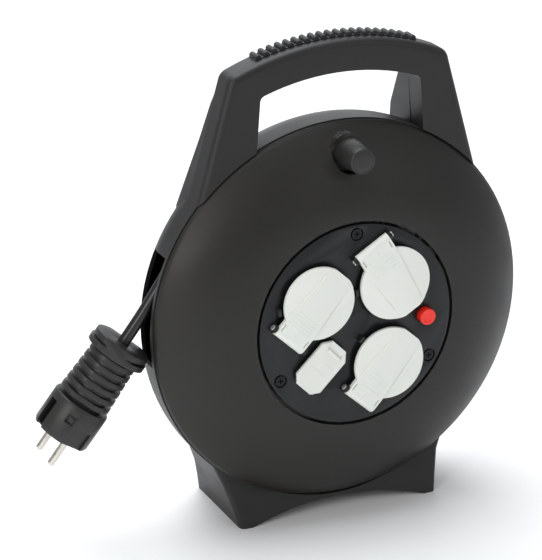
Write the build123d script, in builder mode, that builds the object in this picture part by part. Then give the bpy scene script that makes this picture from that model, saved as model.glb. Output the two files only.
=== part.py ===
from build123d import *
from math import acos, asin, atan2, cos, degrees, pi, radians, sin, sqrt, tan
import os

# Cable reel: a socket drum with a domed front disc turns in a stand with a carrying handle.
# +Z is up and the stand rests on Z = 0. The sockets face -Y. Without the lead, the object's box is centred
# on X = 0 and Y = 0. Depths are counted forwards (towards -Y) from the rim plane of the front disc, and
# "up" is counted from the drum's axis. All sizes are in millimetres.

# ---------------------------------------------------------------- driving dimensions
DRUM_Z = 142.0            # height of the drum's axis
DRUM_Y = -17.25           # rim plane of the front disc

DISC_R = 129.6            # front disc
DOME_R = 82.6             # section radius of its dome, flat where it meets the panel
DOME_TOP = 26.6
LIP_R = 69.8              # edge of the panel's seat
WALL = 2.6
RIM_BACK = -0.8
SEAT_TOP = 22.8
SEAT_R = 64.5

BAND_R = 130.5            # outside of the housing behind the disc
RING_FRONT = -1.3
SEAM = -4.0               # front frame meets rear shell
BOWL_START = -14.0        # where the bowl starts to close in
BOWL_END_R = 85.5
REAR = -52.0
FRAME_FRONT = 2.0
HANDLE_BACK = -20.0
HANDLE_R = 183.0
OPENING_R = 162.3
POCKET_R = 130.1
GROUND = -DRUM_Z

PANEL_R = 67.8
PANEL_T = 3.5
PANEL_FRONT = 26.4
PANEL_BACK = PANEL_FRONT - PANEL_T
PANEL_SCREW_R = 61.5      # pitch radius of the three panel screws

RECESS_R = 19.9           # round socket recess
COLLAR_R = 22.4
COLLAR_TOP = 29.2
RECESS_FLOOR = 11.7
INSERT_BACK = 8.7
PIN_HALF_PITCH = 9.5
PIN_HOLE_R = 2.6

LID_R = 24.5
LID_BACK = 29.9
LID_T = 3.0
ARM_W = 25.0
HINGE_REACH = 30.0        # lid centre to hinge pin
HINGE_F = 29.8
BARREL_R = 3.1
LID_PIN_R = 1.3
RUNNING = 0.06            # radial clearance of a pin or shaft in its bore
BODY_GAP = 0.35           # gap between pieces that move past each other

EURO_CENTRE = (-25.9, -25.0)
EURO_TURN = 225.0
EURO_HINGE = 16.0
EURO_PIN_F = 28.6
EURO_BARREL_R = 1.9
EURO_LID_BACK = 28.0
EURO_CUP = (31.2, 19.0)   # outside of the small socket's cup, which stops short of the hinge
EURO_SHIFT = -1.6
EURO_BACK = 8.0

BUTTON_AT = (49.5, -1.5)
BUTTON_R = 5.4
BREAKER_TOP = 19.4

KNOB_AT = 112.5           # radius of the crank knob on the disc
KNOB_SEAT = 12.6
KNOB_TIP = 34.5
SPINDLE_R = 4.0

CORE_R = 76.0
CORE_BACK = -38.0
DRUM_SCREW_R = 67.2
FLANGE_R = 111.5
FLANGE_T = 2.6
AXLE_R = 12.0
AXLE_TIP = -20.0
HUB_FRONT = -21.0
BUSH_R = 14.0

CABLE_R = 4.1
WOUND_R = 106.2           # outside of the full winding
WINDING_FRONT = 3.9

# round sockets: name, place of the recess, direction from it to the lid's hinge
SOCKETS = [
    ("left", (-28.5, 20.5), 227.0),
    ("upper", (25.3, 26.0), 121.5),
    ("lower", (21.8, -28.9), 228.0),
]
# small catch blocks beside the round lids: place and direction
CATCHES = [((-55.6, 18.0), 185.0), ((-1.4, 22.8), 187.0), ((2.6, -10.0), 135.5)]

# ---------------------------------------------------------------- planes
DRUM_AXIS = Axis((0, DRUM_Y, DRUM_Z), (0, -1, 0))
HALF_SECTION = Plane(origin=(0, DRUM_Y, DRUM_Z), x_dir=(1, 0, 0), z_dir=(0, 0, -1))


def facing(forward, at=(0.0, 0.0), turn=0.0):
    """Plane that faces forwards at a depth in front of the disc's rim; its x axis is turned by turn."""
    along = (cos(radians(turn)), 0, sin(radians(turn)))
    return Plane(origin=(at[0], DRUM_Y - forward, DRUM_Z + at[1]), x_dir=along, z_dir=(0, -1, 0))


def hinge_plane(at, turn, reach, forward):
    """Plane square to a hinge pin, through its middle: x points from the lid to the hinge, y forwards."""
    a = radians(turn)
    origin = (at[0] + reach * cos(a), DRUM_Y - forward, DRUM_Z + at[1] + reach * sin(a))
    return Plane(origin=origin, x_dir=(cos(a), 0, sin(a)), z_dir=(sin(a), 0, -cos(a)))


def outward(at):
    """Angle of a place on the panel, seen from the drum's axis."""
    return degrees(atan2(at[1], at[0]))


def screw_group(spots, head_top, length, head_r=3.4, shank_r=1.5, rear=False):
    """Pan-head screws with a cross recess, side by side; rear ones have their heads to the back."""
    way = -1 if rear else 1
    head_t = 2.2
    with BuildPart() as group:
        with BuildSketch(facing(head_top - way * head_t)):
            with Locations(*spots):
                Circle(head_r)
        extrude(amount=way * head_t)
        with BuildSketch(facing(head_top)):
            with Locations(*spots):
                Rectangle(head_r * 1.1, 0.7)
                Rectangle(0.7, head_r * 1.1)
        extrude(amount=-way * 1.1, mode=Mode.SUBTRACT)
        with BuildSketch(facing(head_top - way * head_t)):
            with Locations(*spots):
                Circle(shank_r)
        extrude(amount=-way * length)
    return group


# ---------------------------------------------------------------- front disc
rim_turn = 45.6
dome_mid = DOME_TOP - DOME_R
inner_turn = degrees(asin((RIM_BACK - dome_mid) / (DOME_R - WALL)))
seat_turn = degrees(acos((CORE_R + 2.0 - LIP_R) / (DOME_R - WALL)))
KNOB_SEAT_R = 12.6
SEAT_BACK = SEAT_TOP - WALL

with BuildPart() as front_disc:
    with BuildSketch(HALF_SECTION):
        with BuildLine():
            dome = CenterArc((LIP_R, dome_mid), DOME_R, rim_turn, 90 - rim_turn)
            Polyline(
                dome @ 1,
                (LIP_R, SEAT_TOP),
                (SEAT_R, SEAT_TOP),
                (SEAT_R, SEAT_BACK),
                (CORE_R + 2, SEAT_BACK),
            )
            inside = CenterArc((LIP_R, dome_mid), DOME_R - WALL, inner_turn, seat_turn - inner_turn)
            Line((CORE_R + 2, SEAT_BACK), inside @ 1)
            Line(inside @ 0, (DISC_R, RIM_BACK))
            TangentArc((DISC_R, RIM_BACK), dome @ 0, tangent=(0, 1))
        make_face()
    revolve(axis=DRUM_AXIS)
    # bosses for the panel screws
    with BuildSketch(facing(8.0)):
        with PolarLocations(PANEL_SCREW_R, 3, start_angle=90):
            Circle(4.6)
    extrude(amount=SEAT_TOP - 8.0)
    # flat seat of the crank knob
    with BuildSketch(facing(5.0, (0, KNOB_AT))):
        Circle(KNOB_SEAT_R)
    extrude(amount=KNOB_SEAT - 5.0)
    with BuildSketch(facing(KNOB_SEAT, (0, KNOB_AT))):
        Circle(KNOB_SEAT_R)
    extrude(amount=12.0, mode=Mode.SUBTRACT)
    with BuildSketch(facing(0, (0, KNOB_AT))):
        Circle(SPINDLE_R)
    extrude(amount=20.0, mode=Mode.SUBTRACT)
    # screw holes: panel screws, then drum screws through the seat
    with BuildSketch(facing(6.0)):
        with PolarLocations(PANEL_SCREW_R, 3, start_angle=90):
            Circle(1.5)
        with PolarLocations(DRUM_SCREW_R, 3, start_angle=30):
            Circle(1.5)
    extrude(amount=20.0, mode=Mode.SUBTRACT)
    with BuildSketch(facing(SEAT_TOP)):
        with PolarLocations(DRUM_SCREW_R, 3, start_angle=30):
            Circle(2.5)
    extrude(amount=-2.2, mode=Mode.SUBTRACT)
front_disc.part.label = "front_disc"
export_step(front_disc.part, "parts/front_disc.step")

# ---------------------------------------------------------------- drum behind the disc
LEAD_F = -32.0            # depth of the hole where the lead enters the core

with BuildPart() as drum_core:
    with BuildSketch(facing(CORE_BACK)):
        Circle(CORE_R)
        Circle(CORE_R - WALL, mode=Mode.SUBTRACT)
    extrude(amount=SEAT_BACK - CORE_BACK)
    # screw bosses at both ends, inside the tube
    for boss_back in (CORE_BACK, SEAT_BACK - 12.0):
        with BuildSketch(facing(boss_back)):
            with PolarLocations(DRUM_SCREW_R, 3, start_angle=30):
                Circle(6.5)
        extrude(amount=12.0)
    with BuildSketch(facing(CORE_BACK)):
        with PolarLocations(DRUM_SCREW_R, 3, start_angle=30):
            Circle(1.5)
    extrude(amount=SEAT_BACK - CORE_BACK, mode=Mode.SUBTRACT)
    with BuildSketch(Plane(origin=(-CORE_R - 5, DRUM_Y - LEAD_F, DRUM_Z), z_dir=(1, 0, 0))):
        Circle(CABLE_R)
    extrude(amount=20.0, mode=Mode.SUBTRACT)
drum_core.part.label = "drum_core"
export_step(drum_core.part, "parts/drum_core.step")

with BuildPart() as rear_flange:
    with BuildSketch(facing(CORE_BACK)):
        Circle(FLANGE_R)
    extrude(amount=-FLANGE_T)
    with BuildSketch(facing(CORE_BACK)):
        Circle(BUSH_R + 4.0)
    extrude(amount=HUB_FRONT - CORE_BACK)
    with BuildSketch(facing(CORE_BACK)):
        for rib_turn in range(30, 180, 60):
            with Locations(Rotation(0, 0, rib_turn)):
                Rectangle(2 * 58.0, 2.4)
        Circle(BUSH_R + 3.0, mode=Mode.SUBTRACT)
    extrude(amount=5.0)
    with BuildSketch(facing(HUB_FRONT)):
        Circle(BUSH_R)
    extrude(amount=-25.0, mode=Mode.SUBTRACT)
    with BuildSketch(facing(CORE_BACK)):
        with PolarLocations(DRUM_SCREW_R, 3, start_angle=30):
            Circle(1.6)
    extrude(amount=-FLANGE_T, mode=Mode.SUBTRACT)
rear_flange.part.label = "rear_flange"
export_step(rear_flange.part, "parts/rear_flange.step")

drum_screw_spots = [
    (DRUM_SCREW_R * cos(radians(a)), DRUM_SCREW_R * sin(radians(a))) for a in (30, 150, 270)
]
front_screws = screw_group(drum_screw_spots, SEAT_TOP, 9.0, head_r=2.5)
flange_back = CORE_BACK - FLANGE_T
rear_screws = screw_group(drum_screw_spots, flange_back - 2.2, 10.0, rear=True)
with BuildPart() as drum_screws:
    add(front_screws.part)
    add(rear_screws.part)
drum_screws.part.label = "drum_screws"
export_step(drum_screws.part, "parts/drum_screws.step")

with BuildPart() as hub_bush:
    with BuildSketch(facing(HUB_FRONT)):
        Circle(BUSH_R)
        Circle(AXLE_R + RUNNING, mode=Mode.SUBTRACT)
    extrude(amount=flange_back - HUB_FRONT)
hub_bush.part.label = "hub_bush"
export_step(hub_bush.part, "parts/hub_bush.step")

with BuildPart() as cable_winding:
    with BuildSketch(facing(CORE_BACK + 0.2)):
        Circle(WOUND_R)
        Circle(CORE_R + 0.05, mode=Mode.SUBTRACT)
    extrude(amount=WINDING_FRONT - CORE_BACK - 0.2)
cable_winding.part.label = "cable_winding"
export_step(cable_winding.part, "parts/cable_winding.step")

# ---------------------------------------------------------------- lead inside the drum
CLAMP_X = -65.0
LEAD_END_X = -56.0

with BuildPart() as inner_lead:
    with BuildSketch(Plane(origin=(-CORE_R + 0.2, DRUM_Y - LEAD_F, DRUM_Z), z_dir=(1, 0, 0))):
        Circle(CABLE_R)
    extrude(amount=LEAD_END_X + CORE_R - 0.2)
inner_lead.part.label = "inner_lead"
export_step(inner_lead.part, "parts/inner_lead.step")

with BuildPart() as cable_clamp:
    with BuildSketch(facing(CORE_BACK, (CLAMP_X, 0))):
        RectangleRounded(9.0, 26.0, 2.0)
    extrude(amount=11.5)
    with BuildSketch(Plane(origin=(CLAMP_X - 10, DRUM_Y - LEAD_F, DRUM_Z), z_dir=(1, 0, 0))):
        Circle(CABLE_R)
    extrude(amount=20.0, mode=Mode.SUBTRACT)
    with BuildSketch(facing(CORE_BACK, (CLAMP_X, 0))):
        with GridLocations(0, 17.0, 1, 2):
            Circle(1.5)
    extrude(amount=12.0, mode=Mode.SUBTRACT)
cable_clamp.part.label = "cable_clamp"
export_step(cable_clamp.part, "parts/cable_clamp.step")

clamp_screws = screw_group([(CLAMP_X, -8.5), (CLAMP_X, 8.5)], CORE_BACK + 13.7, 11.5, head_r=2.8)
clamp_screws.part.label = "clamp_screws"
export_step(clamp_screws.part, "parts/clamp_screws.step")

# rings behind the sockets: name, inner and outer radius, back face
BUSBARS = [
    ("busbar_live", 24.0, 28.5, -7.0),
    ("busbar_neutral", 43.0, 47.5, -7.0),
    ("busbar_earth", 33.0, 38.0, -2.0),
]
for ring_name, ring_in, ring_out, ring_back in BUSBARS:
    with BuildPart() as busbar:
        with BuildSketch(facing(ring_back)):
            Circle(ring_out)
            Circle(ring_in, mode=Mode.SUBTRACT)
        extrude(amount=1.0)
    busbar.part.label = ring_name
    export_step(busbar.part, f"parts/{ring_name}.step")

with BuildPart() as inner_wires:
    for lift, (ring_name, ring_in, ring_out, ring_back) in zip((0.0, 3.0, -3.0), BUSBARS):
        start = Vector(LEAD_END_X + 1.2, DRUM_Y - LEAD_F, DRUM_Z + lift)
        end = Vector(-(ring_in + ring_out) / 2, DRUM_Y - ring_back + 1.2, DRUM_Z + lift)
        with BuildSketch(Plane(origin=start, z_dir=end - start)):
            Circle(1.2)
        extrude(amount=(end - start).length)
inner_wires.part.label = "inner_wires"
export_step(inner_wires.part, "parts/inner_wires.step")


# ---------------------------------------------------------------- socket panel
def make_lugs(at, turn, reach, pin_f, gap_half, lug_t, lug_r, pin_r):
    """Pair of hinge lugs on the panel, either side of a lid's barrel, bored for the pin."""
    middle = hinge_plane(at, turn, reach, pin_f)
    drop = pin_f - PANEL_FRONT + 0.5
    with BuildPart() as lugs:
        for side in (-1, 1):
            with BuildSketch(middle.offset(side * gap_half)):
                with Locations((0, -drop / 2)):
                    Rectangle(2 * lug_r, drop)
                Circle(lug_r)
            extrude(amount=side * lug_t)
        with BuildSketch(middle):
            Circle(pin_r)
        extrude(amount=gap_half + lug_t + 1, both=True, mode=Mode.SUBTRACT)
    return lugs


round_lugs = [
    make_lugs(at, turn, HINGE_REACH, HINGE_F, ARM_W / 2 + BODY_GAP, 2.2, 2.9, LID_PIN_R)
    for _, at, turn in SOCKETS
]
euro_lugs = make_lugs(EURO_CENTRE, EURO_TURN, EURO_HINGE, EURO_PIN_F, 6.5 + BODY_GAP, 1.6, 1.8, 1.0)

with BuildPart() as socket_panel:
    with BuildSketch(facing(PANEL_BACK)):
        Circle(PANEL_R)
        with Locations(*[at for _, at, _ in SOCKETS]):
            Circle(COLLAR_R + 0.05, mode=Mode.SUBTRACT)
        with Locations(BUTTON_AT):
            Circle(BUTTON_R + BODY_GAP, mode=Mode.SUBTRACT)
        with PolarLocations(PANEL_SCREW_R, 3, start_angle=90):
            Circle(1.6, mode=Mode.SUBTRACT)
    extrude(amount=PANEL_T)
    with BuildSketch(facing(PANEL_FRONT - 2.2)):
        with PolarLocations(PANEL_SCREW_R, 3, start_angle=90):
            Circle(4.5)
    extrude(amount=5.0, mode=Mode.SUBTRACT)
    with BuildSketch(facing(PANEL_BACK, EURO_CENTRE, EURO_TURN)):
        with Locations((EURO_SHIFT, 0)):
            Rectangle(EURO_CUP[0] + 0.1, EURO_CUP[1] + 0.1)
    extrude(amount=PANEL_T, mode=Mode.SUBTRACT)
    for lugs in round_lugs + [euro_lugs]:
        add(lugs.part)
    for at, turn in CATCHES:
        with BuildSketch(facing(PANEL_FRONT, at, turn)):
            Rectangle(2.2, 4.6)
        extrude(amount=4.4)
socket_panel.part.label = "socket_panel"
export_step(socket_panel.part, "parts/socket_panel.step")

panel_screw_spots = [
    (PANEL_SCREW_R * cos(radians(a)), PANEL_SCREW_R * sin(radians(a))) for a in (90, 210, 330)
]
panel_screws = screw_group(panel_screw_spots, PANEL_FRONT, 12.0, head_r=3.5)
panel_screws.part.label = "panel_screws"
export_step(panel_screws.part, "parts/panel_screws.step")


def make_insert(at):
    """Round socket cup with two pin holes on a line through the drum's axis and slots for the earth clip."""
    turn = outward(at)
    with BuildPart() as insert:
        with BuildSketch(facing(INSERT_BACK, at, turn)):
            Circle(COLLAR_R)
        extrude(amount=COLLAR_TOP - INSERT_BACK)
        with BuildSketch(facing(PANEL_BACK, at, turn)):
            Circle(COLLAR_R + 1.6)
        extrude(amount=-2.0)
        with BuildSketch(facing(RECESS_FLOOR, at, turn)):
            Circle(RECESS_R)
        extrude(amount=20.0, mode=Mode.SUBTRACT)
        with BuildSketch(facing(INSERT_BACK, at, turn)):
            with GridLocations(2 * PIN_HALF_PITCH, 0, 2, 1):
                Circle(PIN_HOLE_R)
            with GridLocations(0, 2 * (RECESS_R + 0.5), 1, 2):
                Rectangle(5.4, 1.6)
        extrude(amount=15.5, mode=Mode.SUBTRACT)
    return insert


for side_name, at, _ in SOCKETS:
    insert = make_insert(at)
    insert.part.label = f"insert_{side_name}"
    export_step(insert.part, f"parts/insert_{side_name}.step")

with BuildPart() as euro_insert:
    with BuildSketch(facing(EURO_BACK, EURO_CENTRE, EURO_TURN)):
        with Locations((EURO_SHIFT, 0)):
            Rectangle(*EURO_CUP)
    extrude(amount=PANEL_FRONT - EURO_BACK)
    with BuildSketch(facing(12.0, EURO_CENTRE, EURO_TURN)):
        with Locations((EURO_SHIFT, 0)):
            SlotOverall(28.0, 14.0)
    extrude(amount=20.0, mode=Mode.SUBTRACT)
    with BuildSketch(facing(EURO_BACK, EURO_CENTRE, EURO_TURN)):
        with GridLocations(2 * PIN_HALF_PITCH, 0, 2, 1):
            Circle(2.4)
    extrude(amount=6.0, mode=Mode.SUBTRACT)
euro_insert.part.label = "euro_insert"
export_step(euro_insert.part, "parts/euro_insert.step")

# brass sleeves between the cups and the rings
with BuildPart() as contact_sleeves:
    for at, top in [(at, INSERT_BACK) for _, at, _ in SOCKETS] + [(EURO_CENTRE, EURO_BACK)]:
        with BuildSketch(facing(-6.0, at, outward(at))):
            with GridLocations(2 * PIN_HALF_PITCH, 0, 2, 1):
                Circle(3.6)
                Circle(PIN_HOLE_R, mode=Mode.SUBTRACT)
        extrude(amount=top + 6.0)
contact_sleeves.part.label = "contact_sleeves"
export_step(contact_sleeves.part, "parts/contact_sleeves.step")

# one U-shaped earth clip per round socket: its base lies on the earth ring
CLIP_OUT = RECESS_R + 0.9
with BuildPart() as earth_clips:
    for _, at, _ in SOCKETS:
        turn = outward(at)
        with BuildSketch(facing(-1.0, at, turn)):
            Rectangle(5.0, 2 * CLIP_OUT)
        extrude(amount=0.8)
        with BuildSketch(facing(-1.0, at, turn)):
            with GridLocations(0, 2 * CLIP_OUT - 0.8, 1, 2):
                Rectangle(5.0, 0.8)
        extrude(amount=24.6)
earth_clips.part.label = "earth_clips"
export_step(earth_clips.part, "parts/earth_clips.step")


# ---------------------------------------------------------------- lids on the sockets
def make_lid(at, turn):
    """Round lid with a straight arm, hinged on a barrel that leaves room for the spring in its middle."""
    pin_plane = hinge_plane(at, turn, HINGE_REACH, HINGE_F)
    with BuildPart() as lid:
        with BuildSketch(facing(LID_BACK, at, turn)):
            Circle(LID_R)
            with Locations((HINGE_REACH / 2, 0)):
                Rectangle(HINGE_REACH, ARM_W)
        extrude(amount=LID_T)
        rim = lid.faces().sort_by(Axis.Y)[0].edges().filter_by(GeomType.CIRCLE)
        chamfer(rim, length=1.2)
        with BuildSketch(pin_plane):
            Circle(BARREL_R)
        extrude(amount=ARM_W / 2, both=True)
        with BuildSketch(pin_plane):
            with Locations((0, -1.0)):
                Rectangle(8.0, 6.7)
        extrude(amount=4.2, both=True, mode=Mode.SUBTRACT)
        with BuildSketch(pin_plane):
            Circle(LID_PIN_R + RUNNING)
        extrude(amount=ARM_W, both=True, mode=Mode.SUBTRACT)
    return lid


def make_gasket(at):
    """Soft ring under a round lid, just clear of the collar that it closes on."""
    with BuildPart() as gasket:
        with BuildSketch(facing(LID_BACK, at)):
            Circle(COLLAR_R - 0.2)
            Circle(RECESS_R + 0.3, mode=Mode.SUBTRACT)
        extrude(amount=-0.4)
    return gasket


def make_spring(at, turn):
    """Closing spring: a close-wound coil about the pin, in the gap of the lid's barrel."""
    with BuildPart() as spring:
        with BuildSketch(hinge_plane(at, turn, HINGE_REACH, HINGE_F)):
            Circle(2.0)
            Circle(LID_PIN_R + 0.02, mode=Mode.SUBTRACT)
        extrude(amount=3.8, both=True)
    return spring


for side_name, at, turn in SOCKETS:
    lid = make_lid(at, turn)
    lid.part.label = f"lid_{side_name}"
    export_step(lid.part, f"parts/lid_{side_name}.step")
    gasket = make_gasket(at)
    gasket.part.label = f"gasket_{side_name}"
    export_step(gasket.part, f"parts/gasket_{side_name}.step")
    spring = make_spring(at, turn)
    spring.part.label = f"lid_spring_{side_name}"
    export_step(spring.part, f"parts/lid_spring_{side_name}.step")

# the octagonal lid, cut back at its hinge end to pass between its lugs
EURO_SIDE = [(-18.2, 6.5), (-12.5, 11.6), (12.5, 11.6), (13.4, 10.8), (13.4, 6.5), (EURO_HINGE, 6.5)]
euro_outline = EURO_SIDE + [(u, -v) for u, v in reversed(EURO_SIDE)]
with BuildPart() as euro_lid:
    with BuildSketch(facing(EURO_LID_BACK, EURO_CENTRE, EURO_TURN)):
        with BuildLine():
            Polyline(*euro_outline, close=True)
        make_face()
    extrude(amount=2.5)
    with BuildSketch(facing(EURO_LID_BACK + 2.5, EURO_CENTRE, EURO_TURN)):
        with Locations((-11.5, 0)):
            Rectangle(2.0, 15.0)
    extrude(amount=1.2)
    pin_plane = hinge_plane(EURO_CENTRE, EURO_TURN, EURO_HINGE, EURO_PIN_F)
    with BuildSketch(pin_plane):
        Circle(EURO_BARREL_R)
    extrude(amount=6.5, both=True)
    with BuildSketch(pin_plane):
        Circle(1.0 + RUNNING)
    extrude(amount=7.0, both=True, mode=Mode.SUBTRACT)
euro_lid.part.label = "euro_lid"
export_step(euro_lid.part, "parts/euro_lid.step")

with BuildPart() as lid_pins:
    for _, at, turn in SOCKETS:
        with BuildSketch(hinge_plane(at, turn, HINGE_REACH, HINGE_F)):
            Circle(LID_PIN_R)
        extrude(amount=ARM_W / 2 + 2.9, both=True)
    with BuildSketch(hinge_plane(EURO_CENTRE, EURO_TURN, EURO_HINGE, EURO_PIN_F)):
        Circle(1.0)
    extrude(amount=8.4, both=True)
lid_pins.part.label = "lid_pins"
export_step(lid_pins.part, "parts/lid_pins.step")

# ---------------------------------------------------------------- thermal cut-out
STEM_R = 2.5
CAP_BACK = 24.6
with BuildPart() as reset_button:
    with BuildSketch(facing(CAP_BACK, BUTTON_AT)):
        Circle(BUTTON_R)
    extrude(amount=31.9 - CAP_BACK)
    with BuildSketch(facing(31.9, BUTTON_AT)):
        Circle(3.4)
    extrude(amount=-0.8, mode=Mode.SUBTRACT)
    fillet(reset_button.faces().sort_by(Axis.Y)[0].edges().sort_by(SortBy.RADIUS)[-1], radius=0.8)
    with BuildSketch(facing(CAP_BACK, BUTTON_AT)):
        Circle(STEM_R)
    extrude(amount=13.0 - CAP_BACK)
reset_button.part.label = "reset_button"
export_step(reset_button.part, "parts/reset_button.step")

with BuildPart() as button_spring:
    with BuildSketch(facing(BREAKER_TOP, BUTTON_AT)):
        Circle(4.3)
        Circle(3.1, mode=Mode.SUBTRACT)
    extrude(amount=CAP_BACK - 0.1 - BREAKER_TOP)
button_spring.part.label = "button_spring"
export_step(button_spring.part, "parts/button_spring.step")

with BuildPart() as breaker_body:
    with BuildSketch(facing(2.0, BUTTON_AT)):
        RectangleRounded(19.0, 15.0, 1.5)
    extrude(amount=BREAKER_TOP - 2.0)
    with BuildSketch(facing(BREAKER_TOP, BUTTON_AT)):
        Circle(STEM_R + BODY_GAP)
    extrude(amount=-10.4, mode=Mode.SUBTRACT)
breaker_body.part.label = "breaker_body"
export_step(breaker_body.part, "parts/breaker_body.step")

# ---------------------------------------------------------------- crank knob
KNOB_BACK = KNOB_SEAT + BODY_GAP
HEAD_BACK = 29.3
KNOB_SECTION = Plane(origin=(0, DRUM_Y, DRUM_Z + KNOB_AT), x_dir=(1, 0, 0), z_dir=(0, 0, -1))
KNOB_AXIS = Axis((0, DRUM_Y, DRUM_Z + KNOB_AT), (0, -1, 0))
with BuildPart() as crank_knob:
    with BuildSketch(KNOB_SECTION):
        with BuildLine():
            Polyline(
                (SPINDLE_R + RUNNING, KNOB_BACK),
                (10.25, KNOB_BACK),
                (8.5, KNOB_TIP - 0.8),
                (7.7, KNOB_TIP),
                (7.0, KNOB_TIP),
                (7.0, HEAD_BACK - 0.3),
                (SPINDLE_R + RUNNING, HEAD_BACK - 0.3),
                close=True,
            )
        make_face()
    revolve(axis=KNOB_AXIS)
crank_knob.part.label = "crank_knob"
export_step(crank_knob.part, "parts/crank_knob.step")

with BuildPart() as knob_cap:
    with BuildSketch(facing(32.2, (0, KNOB_AT))):
        Circle(7.0)
    extrude(amount=1.9)
knob_cap.part.label = "knob_cap"
export_step(knob_cap.part, "parts/knob_cap.step")

with BuildPart() as knob_spindle:
    with BuildSketch(facing(5.0, (0, KNOB_AT))):
        Circle(SPINDLE_R)
    extrude(amount=HEAD_BACK - 5.0)
    with BuildSketch(facing(HEAD_BACK, (0, KNOB_AT))):
        Circle(6.2)
    extrude(amount=2.2)
knob_spindle.part.label = "knob_spindle"
export_step(knob_spindle.part, "parts/knob_spindle.step")

# ---------------------------------------------------------------- housing
SHOULDER = (76.0, sqrt(HANDLE_R**2 - 76.0**2))
POST_FOOT = (99.5, 82.0)
OPENING_TOP = (56.0, sqrt(OPENING_R**2 - 56.0**2))
OPENING_FOOT = (59.5, 104.0)
FRAME_WALL = 3.4
HANDLE_ROUND = 5.0
POST_BACK = -15.5         # where the posts' deeper rear starts
POST_ROUND = 4.4
BOWL_DEPTH = BOWL_START - REAR
REAR_INSIDE = REAR + WALL

# rear of each post, from its top down: up, inner x, outer x, rear at the inner side, rear at the outer side
POST_SECTIONS = [
    (156.0, 56.0, 78.2, -20.0, -20.0),
    (146.0, 56.4, 81.4, -31.0, -20.5),
    (122.0, 57.9, 88.2, -44.0, -23.0),
    (104.0, 59.5, 93.3, -48.5, -26.5),
    (78.0, 60.0, 100.6, -49.0, -32.0),
    (40.0, 60.0, 106.0, -40.0, -34.0),
]
# foot, from the ground up: up, half width, front, rear
FOOT_SECTIONS = [
    (GROUND, 72.0, 5.5, -69.0),
    (-130.0, 74.5, 1.5, -66.0),
    (-116.0, 78.5, -4.5, -61.0),
    (-97.0, 86.5, -8.0, -55.0),
    (-70.0, 96.0, -10.0, -36.0),
]
# casing screws: place and depth of the head's seat
CASING_SCREWS = [((40.0, 167.5), -15.0), ((67.5, -129.0), -32.0)]
casing_spots = [((side * x, up), seat) for (x, up), seat in CASING_SCREWS for side in (-1, 1)]
AXLE_SPOT_R = 21.0


def left(point):
    """The same place on the other side."""
    return (-point[0], point[1])


with BuildSketch() as opening_shape:
    with BuildLine():
        Line(OPENING_FOOT, OPENING_TOP)
        ThreePointArc(OPENING_TOP, (0, OPENING_R), left(OPENING_TOP))
        Polyline(left(OPENING_TOP), left(OPENING_FOOT), OPENING_FOOT)
    make_face()
    fillet(opening_shape.vertices().sort_by(Axis.Y)[-2:], radius=4.5)

with BuildSketch() as handle_shape:
    with BuildLine():
        Line(POST_FOOT, SHOULDER)
        ThreePointArc(SHOULDER, (0, HANDLE_R), left(SHOULDER))
        Polyline(left(SHOULDER), left(POST_FOOT), POST_FOOT)
    make_face()
    fillet(handle_shape.vertices().sort_by(Axis.Y)[-2:], radius=9.0)
    add(opening_shape.sketch, mode=Mode.SUBTRACT)

with BuildSketch() as handle_hollow:
    offset(handle_shape.sketch, amount=-FRAME_WALL)

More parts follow.
